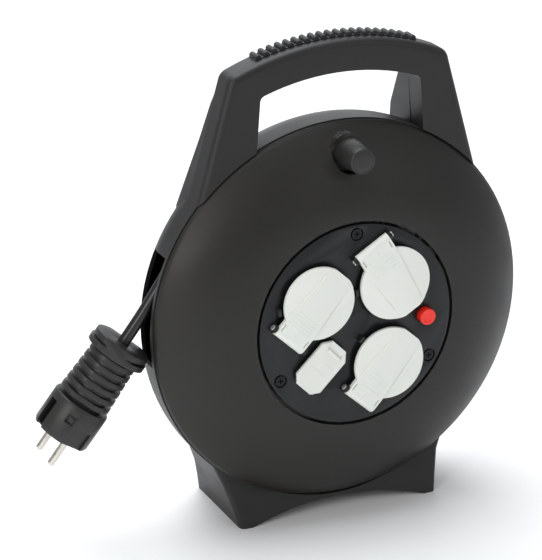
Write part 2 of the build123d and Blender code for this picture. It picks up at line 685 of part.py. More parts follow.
with BuildPart() as casing:
    # handle and posts, hollow between their front and rear walls
    with BuildSketch(facing(FRAME_FRONT)):
        add(handle_shape.sketch)
    extrude(amount=HANDLE_BACK - FRAME_FRONT)
    for face in (casing.faces().sort_by(Axis.Y)[0], casing.faces().sort_by(Axis.Y)[-1]):
        fillet(face.outer_wire().edges().sort_by(Axis.Z)[1:], radius=HANDLE_ROUND)
    with BuildSketch(facing(FRAME_FRONT - FRAME_WALL)):
        add(handle_hollow.sketch)
    extrude(amount=HANDLE_BACK - FRAME_FRONT + 2 * FRAME_WALL, mode=Mode.SUBTRACT)
    with BuildSketch(facing(FRAME_FRONT - 1)):
        with Locations(*[spot for spot, seat in casing_spots if spot[1] > 0]):
            Circle(4.6)
    extrude(amount=HANDLE_BACK - FRAME_FRONT + 2)
    # rear of the posts, deeper towards the opening
    for side in (-1, 1):
        for up, x_in, x_out, rear_in, rear_out in POST_SECTIONS:
            outer_corner = (side * x_out, DRUM_Y - rear_out)
            with BuildSketch(Plane.XY.offset(DRUM_Z + up)) as section:
                with BuildLine():
                    Polyline(
                        (side * x_in, DRUM_Y - POST_BACK),
                        (side * x_out, DRUM_Y - POST_BACK),
                        outer_corner,
                        (side * x_in, DRUM_Y - rear_in),
                        close=True,
                    )
                make_face()
                fillet(section.vertices().sort_by_distance(outer_corner)[0], radius=POST_ROUND)
        loft(ruled=True)
    # foot, open below between two solid blocks
    for up, half, front, rear in FOOT_SECTIONS:
        with BuildSketch(Plane.XY.offset(DRUM_Z + up)):
            with Locations((0, DRUM_Y - (front + rear) / 2)):
                RectangleRounded(2 * half, front - rear, 4.0)
    loft(ruled=True)
    with BuildSketch(Plane.YZ):
        with BuildLine():
            Polyline(
                (DRUM_Y - FOOT_SECTIONS[0][2] + FRAME_WALL, -1.0),
                (DRUM_Y + 11.4, DRUM_Z - 100.0),
                (DRUM_Y + 51.0, DRUM_Z - 100.0),
                (DRUM_Y - FOOT_SECTIONS[0][3] - FRAME_WALL, -1.0),
                close=True,
            )
        make_face()
    extrude(amount=60.0, both=True, mode=Mode.SUBTRACT)
    # band and bowl around the drum
    with BuildSketch(HALF_SECTION):
        with BuildLine():
            Polyline(
                (BAND_R, BOWL_START),
                (BAND_R, RING_FRONT),
                (0, RING_FRONT),
                (0, REAR),
                (BOWL_END_R, REAR),
            )
            EllipticalCenterArc(
                (BOWL_END_R, BOWL_START), BAND_R - BOWL_END_R, BOWL_DEPTH, start_angle=270, arc_size=90
            )
        make_face()
    revolve(axis=DRUM_AXIS)
    with BuildSketch(HALF_SECTION):
        with BuildLine():
            Polyline(
                (BAND_R - WALL, BOWL_START),
                (BAND_R - WALL, 0),
                (0, 0),
                (0, REAR_INSIDE),
                (BOWL_END_R, REAR_INSIDE),
            )
            EllipticalCenterArc(
                (BOWL_END_R, BOWL_START),
                BAND_R - WALL - BOWL_END_R,
                BOWL_DEPTH - WALL,
                start_angle=270,
                arc_size=90,
            )
        make_face()
    revolve(axis=DRUM_AXIS, mode=Mode.SUBTRACT)
    # pocket for the front disc's rim
    with BuildSketch(facing(RING_FRONT)):
        Circle(POCKET_R)
    extrude(amount=20.0, mode=Mode.SUBTRACT)
    # arch between the feet
    with BuildSketch(facing(20.0)):
        with BuildLine():
            ThreePointArc((-63.0, GROUND), (0, GROUND + 10.0), (63.0, GROUND))
            Polyline((63.0, GROUND), (63.0, GROUND - 5), (-63.0, GROUND - 5), (-63.0, GROUND))
        make_face()
    extrude(amount=-120.0, mode=Mode.SUBTRACT)
    # outlet slot for the lead, in the left of the band
    with BuildSketch(facing(SEAM)):
        with BuildLine():
            Polyline(
                *[
                    (r * cos(radians(a)), r * sin(radians(a)))
                    for r, a in ((118, 156), (142, 156), (144, 172), (142, 189), (118, 189))
                ],
                close=True,
            )
        make_face()
    extrude(amount=-23.0, mode=Mode.SUBTRACT)
    # holes for the casing screws and for the axle's screws
    for spot, seat in casing_spots:
        with BuildSketch(facing(-0.8, spot)):
            Circle(1.5)
        extrude(amount=-80.0, mode=Mode.SUBTRACT)
        with BuildSketch(facing(seat, spot)):
            Circle(3.8)
        extrude(amount=-80.0, mode=Mode.SUBTRACT)
    with BuildSketch(facing(REAR_INSIDE)):
        with PolarLocations(AXLE_SPOT_R, 3, start_angle=90):
            Circle(1.5)
    extrude(amount=-10.0, mode=Mode.SUBTRACT)

with BuildPart() as front_frame:
    add(casing.part)
    split(bisect_by=facing(SEAM), keep=Keep.TOP)
front_frame.part.label = "front_frame"
export_step(front_frame.part, "parts/front_frame.step")

with BuildPart() as rear_shell:
    add(casing.part)
    split(bisect_by=facing(SEAM), keep=Keep.BOTTOM)
rear_shell.part.label = "rear_shell"
export_step(rear_shell.part, "parts/rear_shell.step")

with BuildPart() as casing_screws:
    for spot, seat in casing_spots:
        add(screw_group([spot], seat - 2.2, -1.0 - seat, head_r=3.4, rear=True).part)
casing_screws.part.label = "casing_screws"
export_step(casing_screws.part, "parts/casing_screws.step")

# ribbed strip on top of the handle, behind its rounded front edge
GRIP_RIBS = 20
RIB_PITCH = 1.8           # degrees
RIB_R = 2.1
GRIP_FRONT = -5.5
GRIP_BACK = -15.4
GRIP_BASE = 0.6
rib_span = RIB_PITCH * (GRIP_RIBS - 1)
strip_span = rib_span + 1.6
with BuildPart() as handle_grip:
    with BuildSketch(facing(GRIP_BACK)):
        with BuildLine():
            top = CenterArc((0, 0), HANDLE_R + GRIP_BASE, 90 - strip_span / 2, strip_span)
            bottom = CenterArc((0, 0), HANDLE_R, 90 - strip_span / 2, strip_span)
            Line(top @ 0, bottom @ 0)
            Line(top @ 1, bottom @ 1)
        make_face()
        with PolarLocations(HANDLE_R + 0.8, GRIP_RIBS, 90 - rib_span / 2, rib_span, endpoint=True):
            Circle(RIB_R)
        Circle(HANDLE_R, mode=Mode.SUBTRACT)
    extrude(amount=GRIP_FRONT - GRIP_BACK)
handle_grip.part.label = "handle_grip"
export_step(handle_grip.part, "parts/handle_grip.step")

# ---------------------------------------------------------------- axle
with BuildPart() as axle:
    with BuildSketch(facing(REAR_INSIDE)):
        Circle(27.0)
    extrude(amount=3.0)
    with BuildSketch(facing(REAR_INSIDE)):
        Circle(AXLE_R)
    extrude(amount=AXLE_TIP - REAR_INSIDE)
    with BuildSketch(facing(AXLE_TIP)):
        Circle(2.5)
    extrude(amount=-18.0, mode=Mode.SUBTRACT)
    with BuildSketch(facing(REAR_INSIDE)):
        with PolarLocations(AXLE_SPOT_R, 3, start_angle=90):
            Circle(1.5)
    extrude(amount=3.0, mode=Mode.SUBTRACT)
axle.part.label = "axle"
export_step(axle.part, "parts/axle.step")

axle_spots = [(AXLE_SPOT_R * cos(radians(a)), AXLE_SPOT_R * sin(radians(a))) for a in (90, 210, 330)]
axle_screws = screw_group(axle_spots, REAR - 2.2, 5.4, rear=True)
axle_screws.part.label = "axle_screws"
export_step(axle_screws.part, "parts/axle_screws.step")

with BuildPart() as axle_washer:
    with BuildSketch(facing(AXLE_TIP)):
        Circle(17.0)
        Circle(2.6, mode=Mode.SUBTRACT)
    extrude(amount=1.6)
axle_washer.part.label = "axle_washer"
export_step(axle_washer.part, "parts/axle_washer.step")

axle_screw = screw_group([(0, 0)], AXLE_TIP + 3.8, 17.0, head_r=5.0, shank_r=2.5)
axle_screw.part.label = "axle_screw"
export_step(axle_screw.part, "parts/axle_screw.step")

# ---------------------------------------------------------------- plug on the end of the lead
PLUG_TOP = Vector(-144.6, DRUM_Y + 14.5, DRUM_Z - 3.6)
PLUG_DIR = Vector(-0.570, 0.116, -0.814).normalized()
PIN_DIR = Vector(0.048, -0.983, -0.174)
GRIP_LEN = 46.7
BODY_LEN = 26.0
BODY_R = 19.5
PLUG_PIN_R = 2.4
PLUG_PIN_LEN = 19.0
PIN_ROOT_R = 2.0          # shank of a pin inside the body
PIN_ROOT_LEN = 12.0


def plug_plane(along):
    """Plane square to the plug, a distance along it from its flange; x runs through both pins."""
    across = PIN_DIR - PLUG_DIR * PIN_DIR.dot(PLUG_DIR)
    return Plane(origin=PLUG_TOP + PLUG_DIR * along, x_dir=across, z_dir=PLUG_DIR)


RIBS = 6
RIB_STEP = 6.0
RIB_START = 10.5
with BuildPart() as plug_grip:
    # two-ringed flange
    for start, length, radius in [(0, 4.0, 19.5), (0, 9.0, 18.6), (4.9, 4.1, 20.5), (0, GRIP_LEN, 14.2)]:
        with BuildSketch(plug_plane(start)):
            Circle(radius)
        extrude(amount=length)
    # ribs that widen towards the body
    for rib in range(RIBS):
        with BuildSketch(plug_plane(RIB_START + rib * RIB_STEP)):
            Circle(16.5 + 0.3 * rib)
        extrude(amount=4.0)
plug_grip.part.label = "plug_grip"
export_step(plug_grip.part, "parts/plug_grip.step")

with BuildPart() as plug_body:
    with BuildSketch(plug_plane(GRIP_LEN)):
        Circle(BODY_R)
    extrude(amount=BODY_LEN)
    # guide grooves for the side earth contacts
    with BuildSketch(plug_plane(GRIP_LEN + 6.0)):
        with GridLocations(0, 2 * (BODY_R - 1.0), 1, 2):
            Rectangle(7.0, 5.0)
    extrude(amount=BODY_LEN, mode=Mode.SUBTRACT)
    # pin holes
    with BuildSketch(plug_plane(GRIP_LEN + BODY_LEN)):
        with GridLocations(2 * PIN_HALF_PITCH, 0, 2, 1):
            Circle(PIN_ROOT_R)
    extrude(amount=-PIN_ROOT_LEN, mode=Mode.SUBTRACT)
plug_body.part.label = "plug_body"
export_step(plug_body.part, "parts/plug_body.step")

with BuildPart() as plug_pins:
    with BuildSketch(plug_plane(GRIP_LEN + BODY_LEN)):
        with GridLocations(2 * PIN_HALF_PITCH, 0, 2, 1):
            Circle(PLUG_PIN_R)
    extrude(amount=PLUG_PIN_LEN)
    chamfer(plug_pins.faces().sort_by(Axis(PLUG_TOP, PLUG_DIR))[-2:].edges(), length=0.7)
    with BuildSketch(plug_plane(GRIP_LEN + BODY_LEN)):
        with GridLocations(2 * PIN_HALF_PITCH, 0, 2, 1):
            Circle(PIN_ROOT_R)
    extrude(amount=-PIN_ROOT_LEN)
plug_pins.part.label = "plug_pins"
export_step(plug_pins.part, "parts/plug_pins.step")

with BuildPart() as plug_earth_clips:
    with BuildSketch(plug_plane(GRIP_LEN + 6.0)):
        with GridLocations(0, 2 * (BODY_R - 3.0), 1, 2):
            Rectangle(5.0, 1.0)
    extrude(amount=BODY_LEN - 7.5)
plug_earth_clips.part.label = "plug_earth_clips"
export_step(plug_earth_clips.part, "parts/plug_earth_clips.step")

# ---------------------------------------------------------------- lead, from the winding through the slot
# route from the drum's axis: x, depth, up; straight into the plug at its end
LEAD_ROUTE = [
    (13.8, -19.0, 112.7),
    (-25.5, -17.0, 110.6),
    (-66.5, -15.0, 95.0),
    (-100.5, -13.0, 62.5),
]
route = [Vector(x, DRUM_Y - f, DRUM_Z + up) for x, f, up in LEAD_ROUTE]
route += [PLUG_TOP - PLUG_DIR * 30.0, PLUG_TOP]
runs = [b - a for a, b in zip(route, route[1:])]
bends = []
for before, after in zip(runs, runs[1:]):
    half_turn = radians(before.get_angle(after)) / 2
    bends.append(0.45 * min(before.length, after.length) / tan(half_turn))
print("lead bend radii:", [round(bend) for bend in bends])

with BuildPart() as cable_lead:
    with BuildLine():
        lead_line = FilletPolyline(*route, radius=bends)
    with BuildSketch(Plane(origin=lead_line @ 0, z_dir=lead_line % 0)):
        Circle(CABLE_R)
    sweep()
print("lead length:", round(lead_line.length, 1))
cable_lead.part.label = "cable_lead"
export_step(cable_lead.part, "parts/cable_lead.step")
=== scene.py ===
from math import asin, atan2, cos, degrees, pi, radians, sin

import bmesh
import bpy
from bpy.props import FloatProperty, FloatVectorProperty, PointerProperty
from mathutils import Matrix, Vector


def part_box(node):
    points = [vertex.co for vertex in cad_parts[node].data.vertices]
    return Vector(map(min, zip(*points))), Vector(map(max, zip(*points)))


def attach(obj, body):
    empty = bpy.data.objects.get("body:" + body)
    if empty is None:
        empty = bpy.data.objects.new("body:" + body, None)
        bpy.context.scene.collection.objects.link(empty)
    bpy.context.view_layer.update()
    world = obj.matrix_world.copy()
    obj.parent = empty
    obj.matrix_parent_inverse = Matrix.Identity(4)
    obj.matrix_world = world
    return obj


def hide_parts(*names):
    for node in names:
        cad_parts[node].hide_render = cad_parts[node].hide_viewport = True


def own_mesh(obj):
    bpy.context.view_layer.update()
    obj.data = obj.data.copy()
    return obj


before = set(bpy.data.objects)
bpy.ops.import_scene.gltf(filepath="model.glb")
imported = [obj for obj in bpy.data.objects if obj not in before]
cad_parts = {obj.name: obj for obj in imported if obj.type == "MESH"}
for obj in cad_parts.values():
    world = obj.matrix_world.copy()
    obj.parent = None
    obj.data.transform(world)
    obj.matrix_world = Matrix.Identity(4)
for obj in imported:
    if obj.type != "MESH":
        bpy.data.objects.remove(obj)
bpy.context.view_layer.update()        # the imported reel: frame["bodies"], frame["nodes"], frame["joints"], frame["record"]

bl_info = {
    "name": "Extension Cord Reel",
    "version": (1, 0, 0),
    "blender": (4, 5, 0),
    "location": "View3D > Sidebar > Reel",
    "description": "Finished pieces and materials of a cord reel with a socket drum in a carrying stand",
    "category": "Add Mesh",
}

# ---------------------------------------------------------------- places, read from the frame
MM = 0.001
DISC_LOW, DISC_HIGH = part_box("front_disc")
AXIS_Z = (DISC_LOW.z + DISC_HIGH.z) / 2
DISC_R = (DISC_HIGH.x - DISC_LOW.x) / 2 / MM
RIM_BACK = -0.8           # depth of the disc's rear edge; depths count forwards from its rim plane
RIM_Y = DISC_HIGH.y + RIM_BACK * MM
SIDES = ("left", "upper", "lower")


def middle(node):
    """Middle of a CAD node seen from the front: x and height above the drum's axis, in millimetres."""
    low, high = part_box(node)
    centre = (low + high) / 2
    return centre.x / MM, (centre.z - AXIS_Z) / MM


def depth(y):
    """Depth of a place in millimetres, counted forwards from the disc's rim plane."""
    return (RIM_Y - y) / MM


def facing(forward, at=(0.0, 0.0), turn=0.0):
    """Frame that looks forwards at a depth: its z points to the front, its x is turned by turn degrees."""
    a = radians(turn)
    return Matrix((
        (cos(a), -sin(a), 0, at[0] * MM),
        (0, 0, -1, RIM_Y - forward * MM),
        (sin(a), cos(a), 0, AXIS_Z + at[1] * MM),
        (0, 0, 0, 1),
    ))


# ---------------------------------------------------------------- what a user may change
def colour(name, description, value):
    return FloatVectorProperty(name=name, description=description, default=value, subtype="COLOR",
                               size=3, min=0.0, max=1.0)


def length(name, description, value):
    return FloatProperty(name=name, description=description, default=value * MM, unit="LENGTH",
                         subtype="DISTANCE", min=0.0, precision=4)


class ReelColours(bpy.types.PropertyGroup):
    """Colours of the reel's finishes"""

    casing: colour("Casing", "Moulded stand and housing", (0.0112, 0.0112, 0.0110))
    disc: colour("Disc", "Domed front disc", (0.0128, 0.0121, 0.0103))
    panel: colour("Panel", "Socket panel", (0.0080, 0.0086, 0.0092))
    knob: colour("Knob", "Crank knob", (0.0150, 0.0148, 0.0140))
    grip: colour("Grip", "Ribbed strip on the handle", (0.0110, 0.0112, 0.0120))
    lids: colour("Lids", "Socket lids", (0.78, 0.80, 0.745))
    gasket: colour("Gasket", "Soft rings under the lids", (0.12, 0.12, 0.12))
    button: colour("Button", "Reset button of the thermal cut-out", (0.90, 0.026, 0.012))
    inside: colour("Inside", "Drum and other hidden mouldings", (0.020, 0.020, 0.021))
    cable: colour("Cable", "Sheath of the lead", (0.0080, 0.0080, 0.0085))
    plug: colour("Plug", "Plug on the lead", (0.0130, 0.0130, 0.0120))
    nickel: colour("Pins", "Nickel-plated plug pins", (0.70, 0.66, 0.60))
    steel: colour("Steel", "Zinc-plated steel", (0.56, 0.57, 0.58))
    brass: colour("Brass", "Contact sleeves", (0.68, 0.50, 0.22))
    floor: colour("Floor", "Studio floor", (0.95, 0.95, 0.95))


class ReelSizes(bpy.types.PropertyGroup):
    """Sizes of the reel's finish and of its small details"""

    grain: length("Grain", "Size of the eroded texture on the casing", 0.55)
    fine_grain: length("Fine grain", "Size of the satin texture on disc and panel", 0.32)
    edge: length("Edge", "Rounding of the mouldings' edges", 0.45)
    cable: length("Cable", "Diameter of the lead", 8.2)
    lid_fall: length("Lid fall", "Drop of a round lid's side segments below its band", 0.54)


def sizes():
    return bpy.context.scene.reel_sizes


def colours():
    return bpy.context.scene.reel_colours


# ---------------------------------------------------------------- modelling by hand
def deselect():
    bpy.ops.object.select_all(action="DESELECT")


def activate(piece):
    deselect()
    piece.select_set(True)
    bpy.context.view_layer.objects.active = piece


def named(piece, name):
    piece.name = piece.data.name = name
    return piece


def open_mesh(piece):
    """Edit mode with nothing selected."""
    activate(piece)
    bpy.ops.object.mode_set(mode="EDIT")
    bpy.ops.mesh.select_mode(type="VERT")
    bpy.ops.mesh.select_all(action="DESELECT")


def close_mesh():
    bpy.ops.object.mode_set(mode="OBJECT")


def pick(piece, kind, test):
    """In edit mode, selects the vertices, edges or faces that pass a test; returns how many there are."""
    bpy.ops.mesh.select_all(action="DESELECT")
    bpy.ops.mesh.select_mode(type={"verts": "VERT", "edges": "EDGE", "faces": "FACE"}[kind])
    mesh = bmesh.from_edit_mesh(piece.data)
    found = [item for item in getattr(mesh, kind) if test(item)]
    for item in found:
        item.select_set(True)
    mesh.select_flush_mode()
    bmesh.update_edit_mesh(piece.data)
    return len(found)


def traced(name, points):
    """A line of edges through points, drawn by extruding one vertex."""
    deselect()
    bpy.ops.mesh.primitive_plane_add(size=MM)
    piece = named(bpy.context.object, name)
    bpy.ops.object.mode_set(mode="EDIT")
    bpy.ops.mesh.select_mode(type="VERT")
    bpy.ops.mesh.merge(type="CENTER")
    bpy.ops.transform.translate(value=points[0])
    for start, end in zip(points, points[1:]):
        bpy.ops.mesh.extrude_region_move(TRANSFORM_OT_translate={"value": end - start})
    bpy.ops.mesh.select_all(action="SELECT")
    return piece


def turned(name, section, steps=96):
    """Turned body about the local z axis. The section holds (radius, height) pairs in millimetres."""
    piece = traced(name, [Vector((r, 0, h)) * MM for r, h in section])
    bpy.ops.mesh.spin(steps=steps, angle=2 * pi, center=(0, 0, 0), axis=(0, 0, 1))
    bpy.ops.mesh.select_all(action="SELECT")
    bpy.ops.mesh.remove_doubles(threshold=0.002 * MM)
    bpy.ops.mesh.normals_make_consistent(inside=False)
    close_mesh()
    return piece


def plate(name, outline, low, high):
    """Flat plate from an outline of (x, y) pairs, between two heights, in millimetres."""
    points = [Vector((x, y, low)) * MM for x, y in outline]
    piece = traced(name, points)
    bpy.ops.mesh.edge_face_add()
    bpy.ops.mesh.extrude_region_move(TRANSFORM_OT_translate={"value": (0, 0, (high - low) * MM)})
    bpy.ops.mesh.select_all(action="SELECT")
    bpy.ops.mesh.normals_make_consistent(inside=False)
    close_mesh()
    return piece


def bar(name, size, at):
    """Box of a size about a place, in millimetres."""
    deselect()
    bpy.ops.mesh.primitive_cube_add(size=1, location=Vector(at) * MM, scale=Vector(size) * MM)
    piece = named(bpy.context.object, name)
    bpy.ops.object.transform_apply(location=True, rotation=True, scale=True)
    return piece


def rod(name, radius, span, at, along="Z", vertices=48):
    """Cylinder of a length about a place, in millimetres."""
    turn = {"X": (0, pi / 2, 0), "Y": (pi / 2, 0, 0), "Z": (0, 0, 0)}[along]
    deselect()
    bpy.ops.mesh.primitive_cylinder_add(vertices=vertices, radius=radius * MM, depth=span * MM,
                                        location=Vector(at) * MM, rotation=turn)
    piece = named(bpy.context.object, name)
    bpy.ops.object.transform_apply(location=True, rotation=True, scale=True)
    return piece


def apply(piece, kind, **settings):
    """Adds a modifier with its settings and applies it."""
    activate(piece)
    modifier = piece.modifiers.new(kind.title(), kind)
    for key, value in settings.items():
        setattr(modifier, key, value)
    bpy.ops.object.modifier_apply(modifier=modifier.name)


def cut(piece, tool, operation="DIFFERENCE"):
    """Cuts a tool out of a piece, or joins them into one skin."""
    apply(piece, "BOOLEAN", object=tool, operation=operation, solver="EXACT")
    bpy.data.objects.remove(tool)


def joined(piece, *others):
    """Adds separate closed shells to a piece."""
    activate(piece)
    for other in others:
        other.select_set(True)
    bpy.ops.object.join()
    return piece


def rounded(piece, width, segments=3, angle=32.0):
    """Rounds the piece's sharp edges."""
    apply(piece, "BEVEL", width=width, segments=segments, limit_method="ANGLE", angle_limit=radians(angle),
          use_clamp_overlap=True, miter_outer="MITER_ARC")


def smooth(piece, angle=34.0):
    activate(piece)
    bpy.ops.object.shade_smooth_by_angle(angle=radians(angle))


def settle(piece, place, material, body, slot, *replaced):
    """Puts a finished piece in its place, gives it its material and lets it ride on its body."""
    activate(piece)
    piece.matrix_world = place
    bpy.ops.object.transform_apply(location=True, rotation=True, scale=True)
    piece.data.materials.clear()
    piece.data.materials.append(material)
    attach(piece, body)
    if replaced:
        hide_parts(*replaced)
    return piece


def traced_copy(node, name, whole_faces=True):
    """Mesh copy of a CAD node with its doubles merged and, if asked, its flat faces made whole."""
    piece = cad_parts[node].copy()
    piece.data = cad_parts[node].data.copy()
    piece.parent = None
    bpy.context.collection.objects.link(piece)
    named(piece, name)
    piece.matrix_world = Matrix.Identity(4)
    open_mesh(piece)
    bpy.ops.mesh.select_all(action="SELECT")
    bpy.ops.mesh.remove_doubles(threshold=0.001 * MM)
    bpy.ops.mesh.customdata_custom_splitnormals_clear()
    if whole_faces:
        bpy.ops.mesh.dissolve_limited(angle_limit=radians(0.4))
    bpy.ops.mesh.mark_sharp(clear=True)
    close_mesh()
    return piece


def arc(x, y, radius, start, end, count):
    """Points of an arc, between two angles in degrees."""
    turns = [radians(start + (end - start) * i / count) for i in range(count + 1)]
    return [(x + radius * cos(a), y + radius * sin(a)) for a in turns]


# ---------------------------------------------------------------- shared shader groups
def new_group(name, inputs, outputs):
    group = bpy.data.node_groups.new(name, "ShaderNodeTree")
    for label, value in inputs:
        socket = group.interface.new_socket(label, in_out="INPUT", socket_type="NodeSocketFloat")
        socket.default_value = value
    for label in outputs:
        group.interface.new_socket(label, in_out="OUTPUT", socket_type="NodeSocketFloat")
    return group, group.nodes.new("NodeGroupInput"), group.nodes.new("NodeGroupOutput")


def maths(tree, operation, first, second):
    """Math node; each operand is a socket or a number."""
    node = tree.nodes.new("ShaderNodeMath")
    node.operation = operation
    for socket, value in zip(node.inputs, (first, second)):
        if isinstance(value, (int, float)):
            socket.default_value = value
        else:
            tree.links.new(value, socket)
    return node.outputs[0]


def texture(tree, kind, scale, **settings):
    """Noise or Voronoi texture on object coordinates; its scale is a socket or a number."""
    place = tree.nodes.new("ShaderNodeTexCoord")
    node = tree.nodes.new(kind)
    for key, value in settings.items():
        if key in node.inputs:
            node.inputs[key].default_value = value
        else:
            setattr(node, key, value)
    tree.links.new(place.outputs["Object"], node.inputs["Vector"])
    if isinstance(scale, (int, float)):
        node.inputs["Scale"].default_value = scale
    else:
        tree.links.new(scale, node.inputs["Scale"])
    return node


def grain_group():
    """Eroded mould texture: small rounded pits and bumps, with a slow change of tone over the surface."""
    group, given, result = new_group("mould_grain", [("Size", 0.0005)], ["Height", "Tone", "Speckle"])
    per_metre = maths(group, "DIVIDE", 1.0, given.outputs["Size"])
    pits = texture(group, "ShaderNodeTexVoronoi", per_metre, feature="SMOOTH_F1", Smoothness=0.7)
    crumbs = texture(group, "ShaderNodeTexNoise", per_metre, Detail=3.0, Roughness=0.6)
    height = maths(group, "ADD", maths(group, "MULTIPLY", pits.outputs["Distance"], 0.6),
                   maths(group, "MULTIPLY", crumbs.outputs["Fac"], 0.7))
    clouds = texture(group, "ShaderNodeTexNoise", 22.0, Detail=3.0, Roughness=0.55)
    group.links.new(height, result.inputs["Height"])
    group.links.new(clouds.outputs["Fac"], result.inputs["Tone"])
    group.links.new(crumbs.outputs["Fac"], result.inputs["Speckle"])
    return group


def painted_highlight_group():
    """Mask of edges to be painted paler as a highlight, broken up by noise."""
    group, given, result = new_group("edge_wear", [("Amount", 0.5)], ["Mask"])
    shape = group.nodes.new("ShaderNodeNewGeometry")
    edges = group.nodes.new("ShaderNodeMapRange")
    edges.inputs["From Min"].default_value = 0.52
    edges.inputs["From Max"].default_value = 0.62
    group.links.new(shape.outputs["Pointiness"], edges.inputs["Value"])
    breakup = texture(group, "ShaderNodeTexNoise", 160.0, Detail=4.0)
    lit_edges = maths(group, "MULTIPLY", edges.outputs["Result"], breakup.outputs["Fac"])
    group.links.new(maths(group, "MULTIPLY", lit_edges, given.outputs["Amount"]), result.inputs["Mask"])
    return group


def scuff_group():
    """Fine handling scratches in two directions, as a mask."""
    group, given, result = new_group("handling_scuffs", [("Spread", 0.5)], ["Mask"])
    strands = []
    for stretch in ((900.0, 60.0, 60.0), (50.0, 80.0, 1000.0)):
        place = group.nodes.new("ShaderNodeTexCoord")
        mapping = group.nodes.new("ShaderNodeMapping")
        mapping.inputs["Scale"].default_value = stretch
        mapping.inputs["Rotation"].default_value = (0.3, 0.5, 0.7)
        noise = group.nodes.new("ShaderNodeTexNoise")
        noise.inputs["Scale"].default_value = 1.0
        noise.inputs["Detail"].default_value = 2.0
        group.links.new(place.outputs["Object"], mapping.inputs["Vector"])
        group.links.new(mapping.outputs["Vector"], noise.inputs["Vector"])
        strands.append(noise.outputs["Fac"])
    both = maths(group, "MULTIPLY", strands[0], strands[1])
    ramp = group.nodes.new("ShaderNodeMapRange")
    ramp.inputs["From Min"].default_value = 0.30
    ramp.inputs["From Max"].default_value = 0.48
    group.links.new(both, ramp.inputs["Value"])
    spread_marks = maths(group, "MULTIPLY", ramp.outputs["Result"], given.outputs["Spread"])
    group.links.new(spread_marks, result.inputs["Mask"])
    return group


GROUP_MAKERS = {"mould_grain": grain_group, "edge_wear": painted_highlight_group, "handling_scuffs": scuff_group}


def placed_group(tree, name, **values):
    group = bpy.data.node_groups.get(name) or GROUP_MAKERS[name]()
    node = tree.nodes.new("ShaderNodeGroup")
    node.node_tree = group
    for key, value in values.items():
        node.inputs[key].default_value = value
    return node


def mix(tree, factor, first, second):
    """Colour mix; the colours are sockets or RGB values."""
    node = tree.nodes.new("ShaderNodeMix")
    node.data_type = "RGBA"
    tree.links.new(factor, node.inputs["Factor"])
    for socket, value in ((node.inputs[6], first), (node.inputs[7], second)):
        if isinstance(value, bpy.types.NodeSocket):
            tree.links.new(value, socket)
        else:
            socket.default_value = (*value, 1.0)
    return node.outputs[2]


def shaded(rgb, factor):
    return tuple(min(1.0, channel * factor) for channel in rgb)


def spread(tree, value, low, high):
    """Maps 0.3 to 0.7, where noise mostly lies, to a range."""
    node = tree.nodes.new("ShaderNodeMapRange")
    node.inputs["From Min"].default_value = 0.3
    node.inputs["From Max"].default_value = 0.7
    node.inputs["To Min"].default_value = low
    node.inputs["To Max"].default_value = high
    tree.links.new(value, node.inputs["Value"])
    return node.outputs["Result"]


def moulded(name, rgb, roughness, grain, relief, tone=0.12, wear=0.3, scuffs=0.25, **sockets):
    """Moulded plastic or rubber: grain in the bump, clouds in the tone, edges painted paler as a highlight,
    faint scuffs.
    """
    if name in bpy.data.materials:
        return bpy.data.materials[name]
    material = bpy.data.materials.new(name)
    material.use_nodes = True
    tree = material.node_tree
    shader = tree.nodes["Principled BSDF"]
    skin = placed_group(tree, "mould_grain", Size=grain)
    lit_edges = placed_group(tree, "edge_wear", Amount=wear)
    marks = placed_group(tree, "handling_scuffs", Spread=scuffs)
    body = mix(tree, skin.outputs["Tone"], shaded(rgb, 1 - tone), shaded(rgb, 1 + tone))
    speckled = mix(tree, maths(tree, "MULTIPLY", skin.outputs["Speckle"], 0.25), body, shaded(rgb, 1.7))
    # painted highlight: the edges are lightened in the base colour
    edged = mix(tree, lit_edges.outputs["Mask"], speckled, shaded(rgb, 2.6))
    tree.links.new(edged, shader.inputs["Base Color"])
    rough = spread(tree, skin.outputs["Tone"], roughness - 0.04, roughness + 0.05)
    tree.links.new(maths(tree, "SUBTRACT", rough, maths(tree, "MULTIPLY", marks.outputs["Mask"], 0.12)),
                   shader.inputs["Roughness"])
    bump = tree.nodes.new("ShaderNodeBump")
    bump.inputs["Distance"].default_value = relief
    bump.inputs["Strength"].default_value = 0.6
    tree.links.new(skin.outputs["Height"], bump.inputs["Height"])
    tree.links.new(bump.outputs["Normal"], shader.inputs["Normal"])
    for label, value in sockets.items():
        shader.inputs[label.replace("_", " ")].default_value = value
    return material


def metal(name, rgb, roughness, stretch=(400.0, 400.0, 400.0)):
    """Plated metal with fine drawing marks and a faint cloud of tarnish."""
    if name in bpy.data.materials:
        return bpy.data.materials[name]
    material = bpy.data.materials.new(name)
    material.use_nodes = True
    tree = material.node_tree
    shader = tree.nodes["Principled BSDF"]
    shader.inputs["Metallic"].default_value = 1.0
    place = tree.nodes.new("ShaderNodeTexCoord")
    mapping = tree.nodes.new("ShaderNodeMapping")
    mapping.inputs["Scale"].default_value = stretch
    marks = tree.nodes.new("ShaderNodeTexNoise")
    marks.inputs["Scale"].default_value = 1.0
    marks.inputs["Detail"].default_value = 4.0
    tree.links.new(place.outputs["Object"], mapping.inputs["Vector"])
    tree.links.new(mapping.outputs["Vector"], marks.inputs["Vector"])
    skin = placed_group(tree, "mould_grain", Size=1.5 * MM)
    tarnish = mix(tree, skin.outputs["Tone"], shaded(rgb, 0.86), shaded(rgb, 1.08))
    rough = spread(tree, marks.outputs["Fac"], roughness - 0.06, roughness + 0.10)
    tree.links.new(tarnish, shader.inputs["Base Color"])
    tree.links.new(rough, shader.inputs["Roughness"])
    bump = tree.nodes.new("ShaderNodeBump")
    bump.inputs["Distance"].default_value = 0.01 * MM
    bump.inputs["Strength"].default_value = 0.4
    tree.links.new(marks.outputs["Fac"], bump.inputs["Height"])
    tree.links.new(bump.outputs["Normal"], shader.inputs["Normal"])
    return material


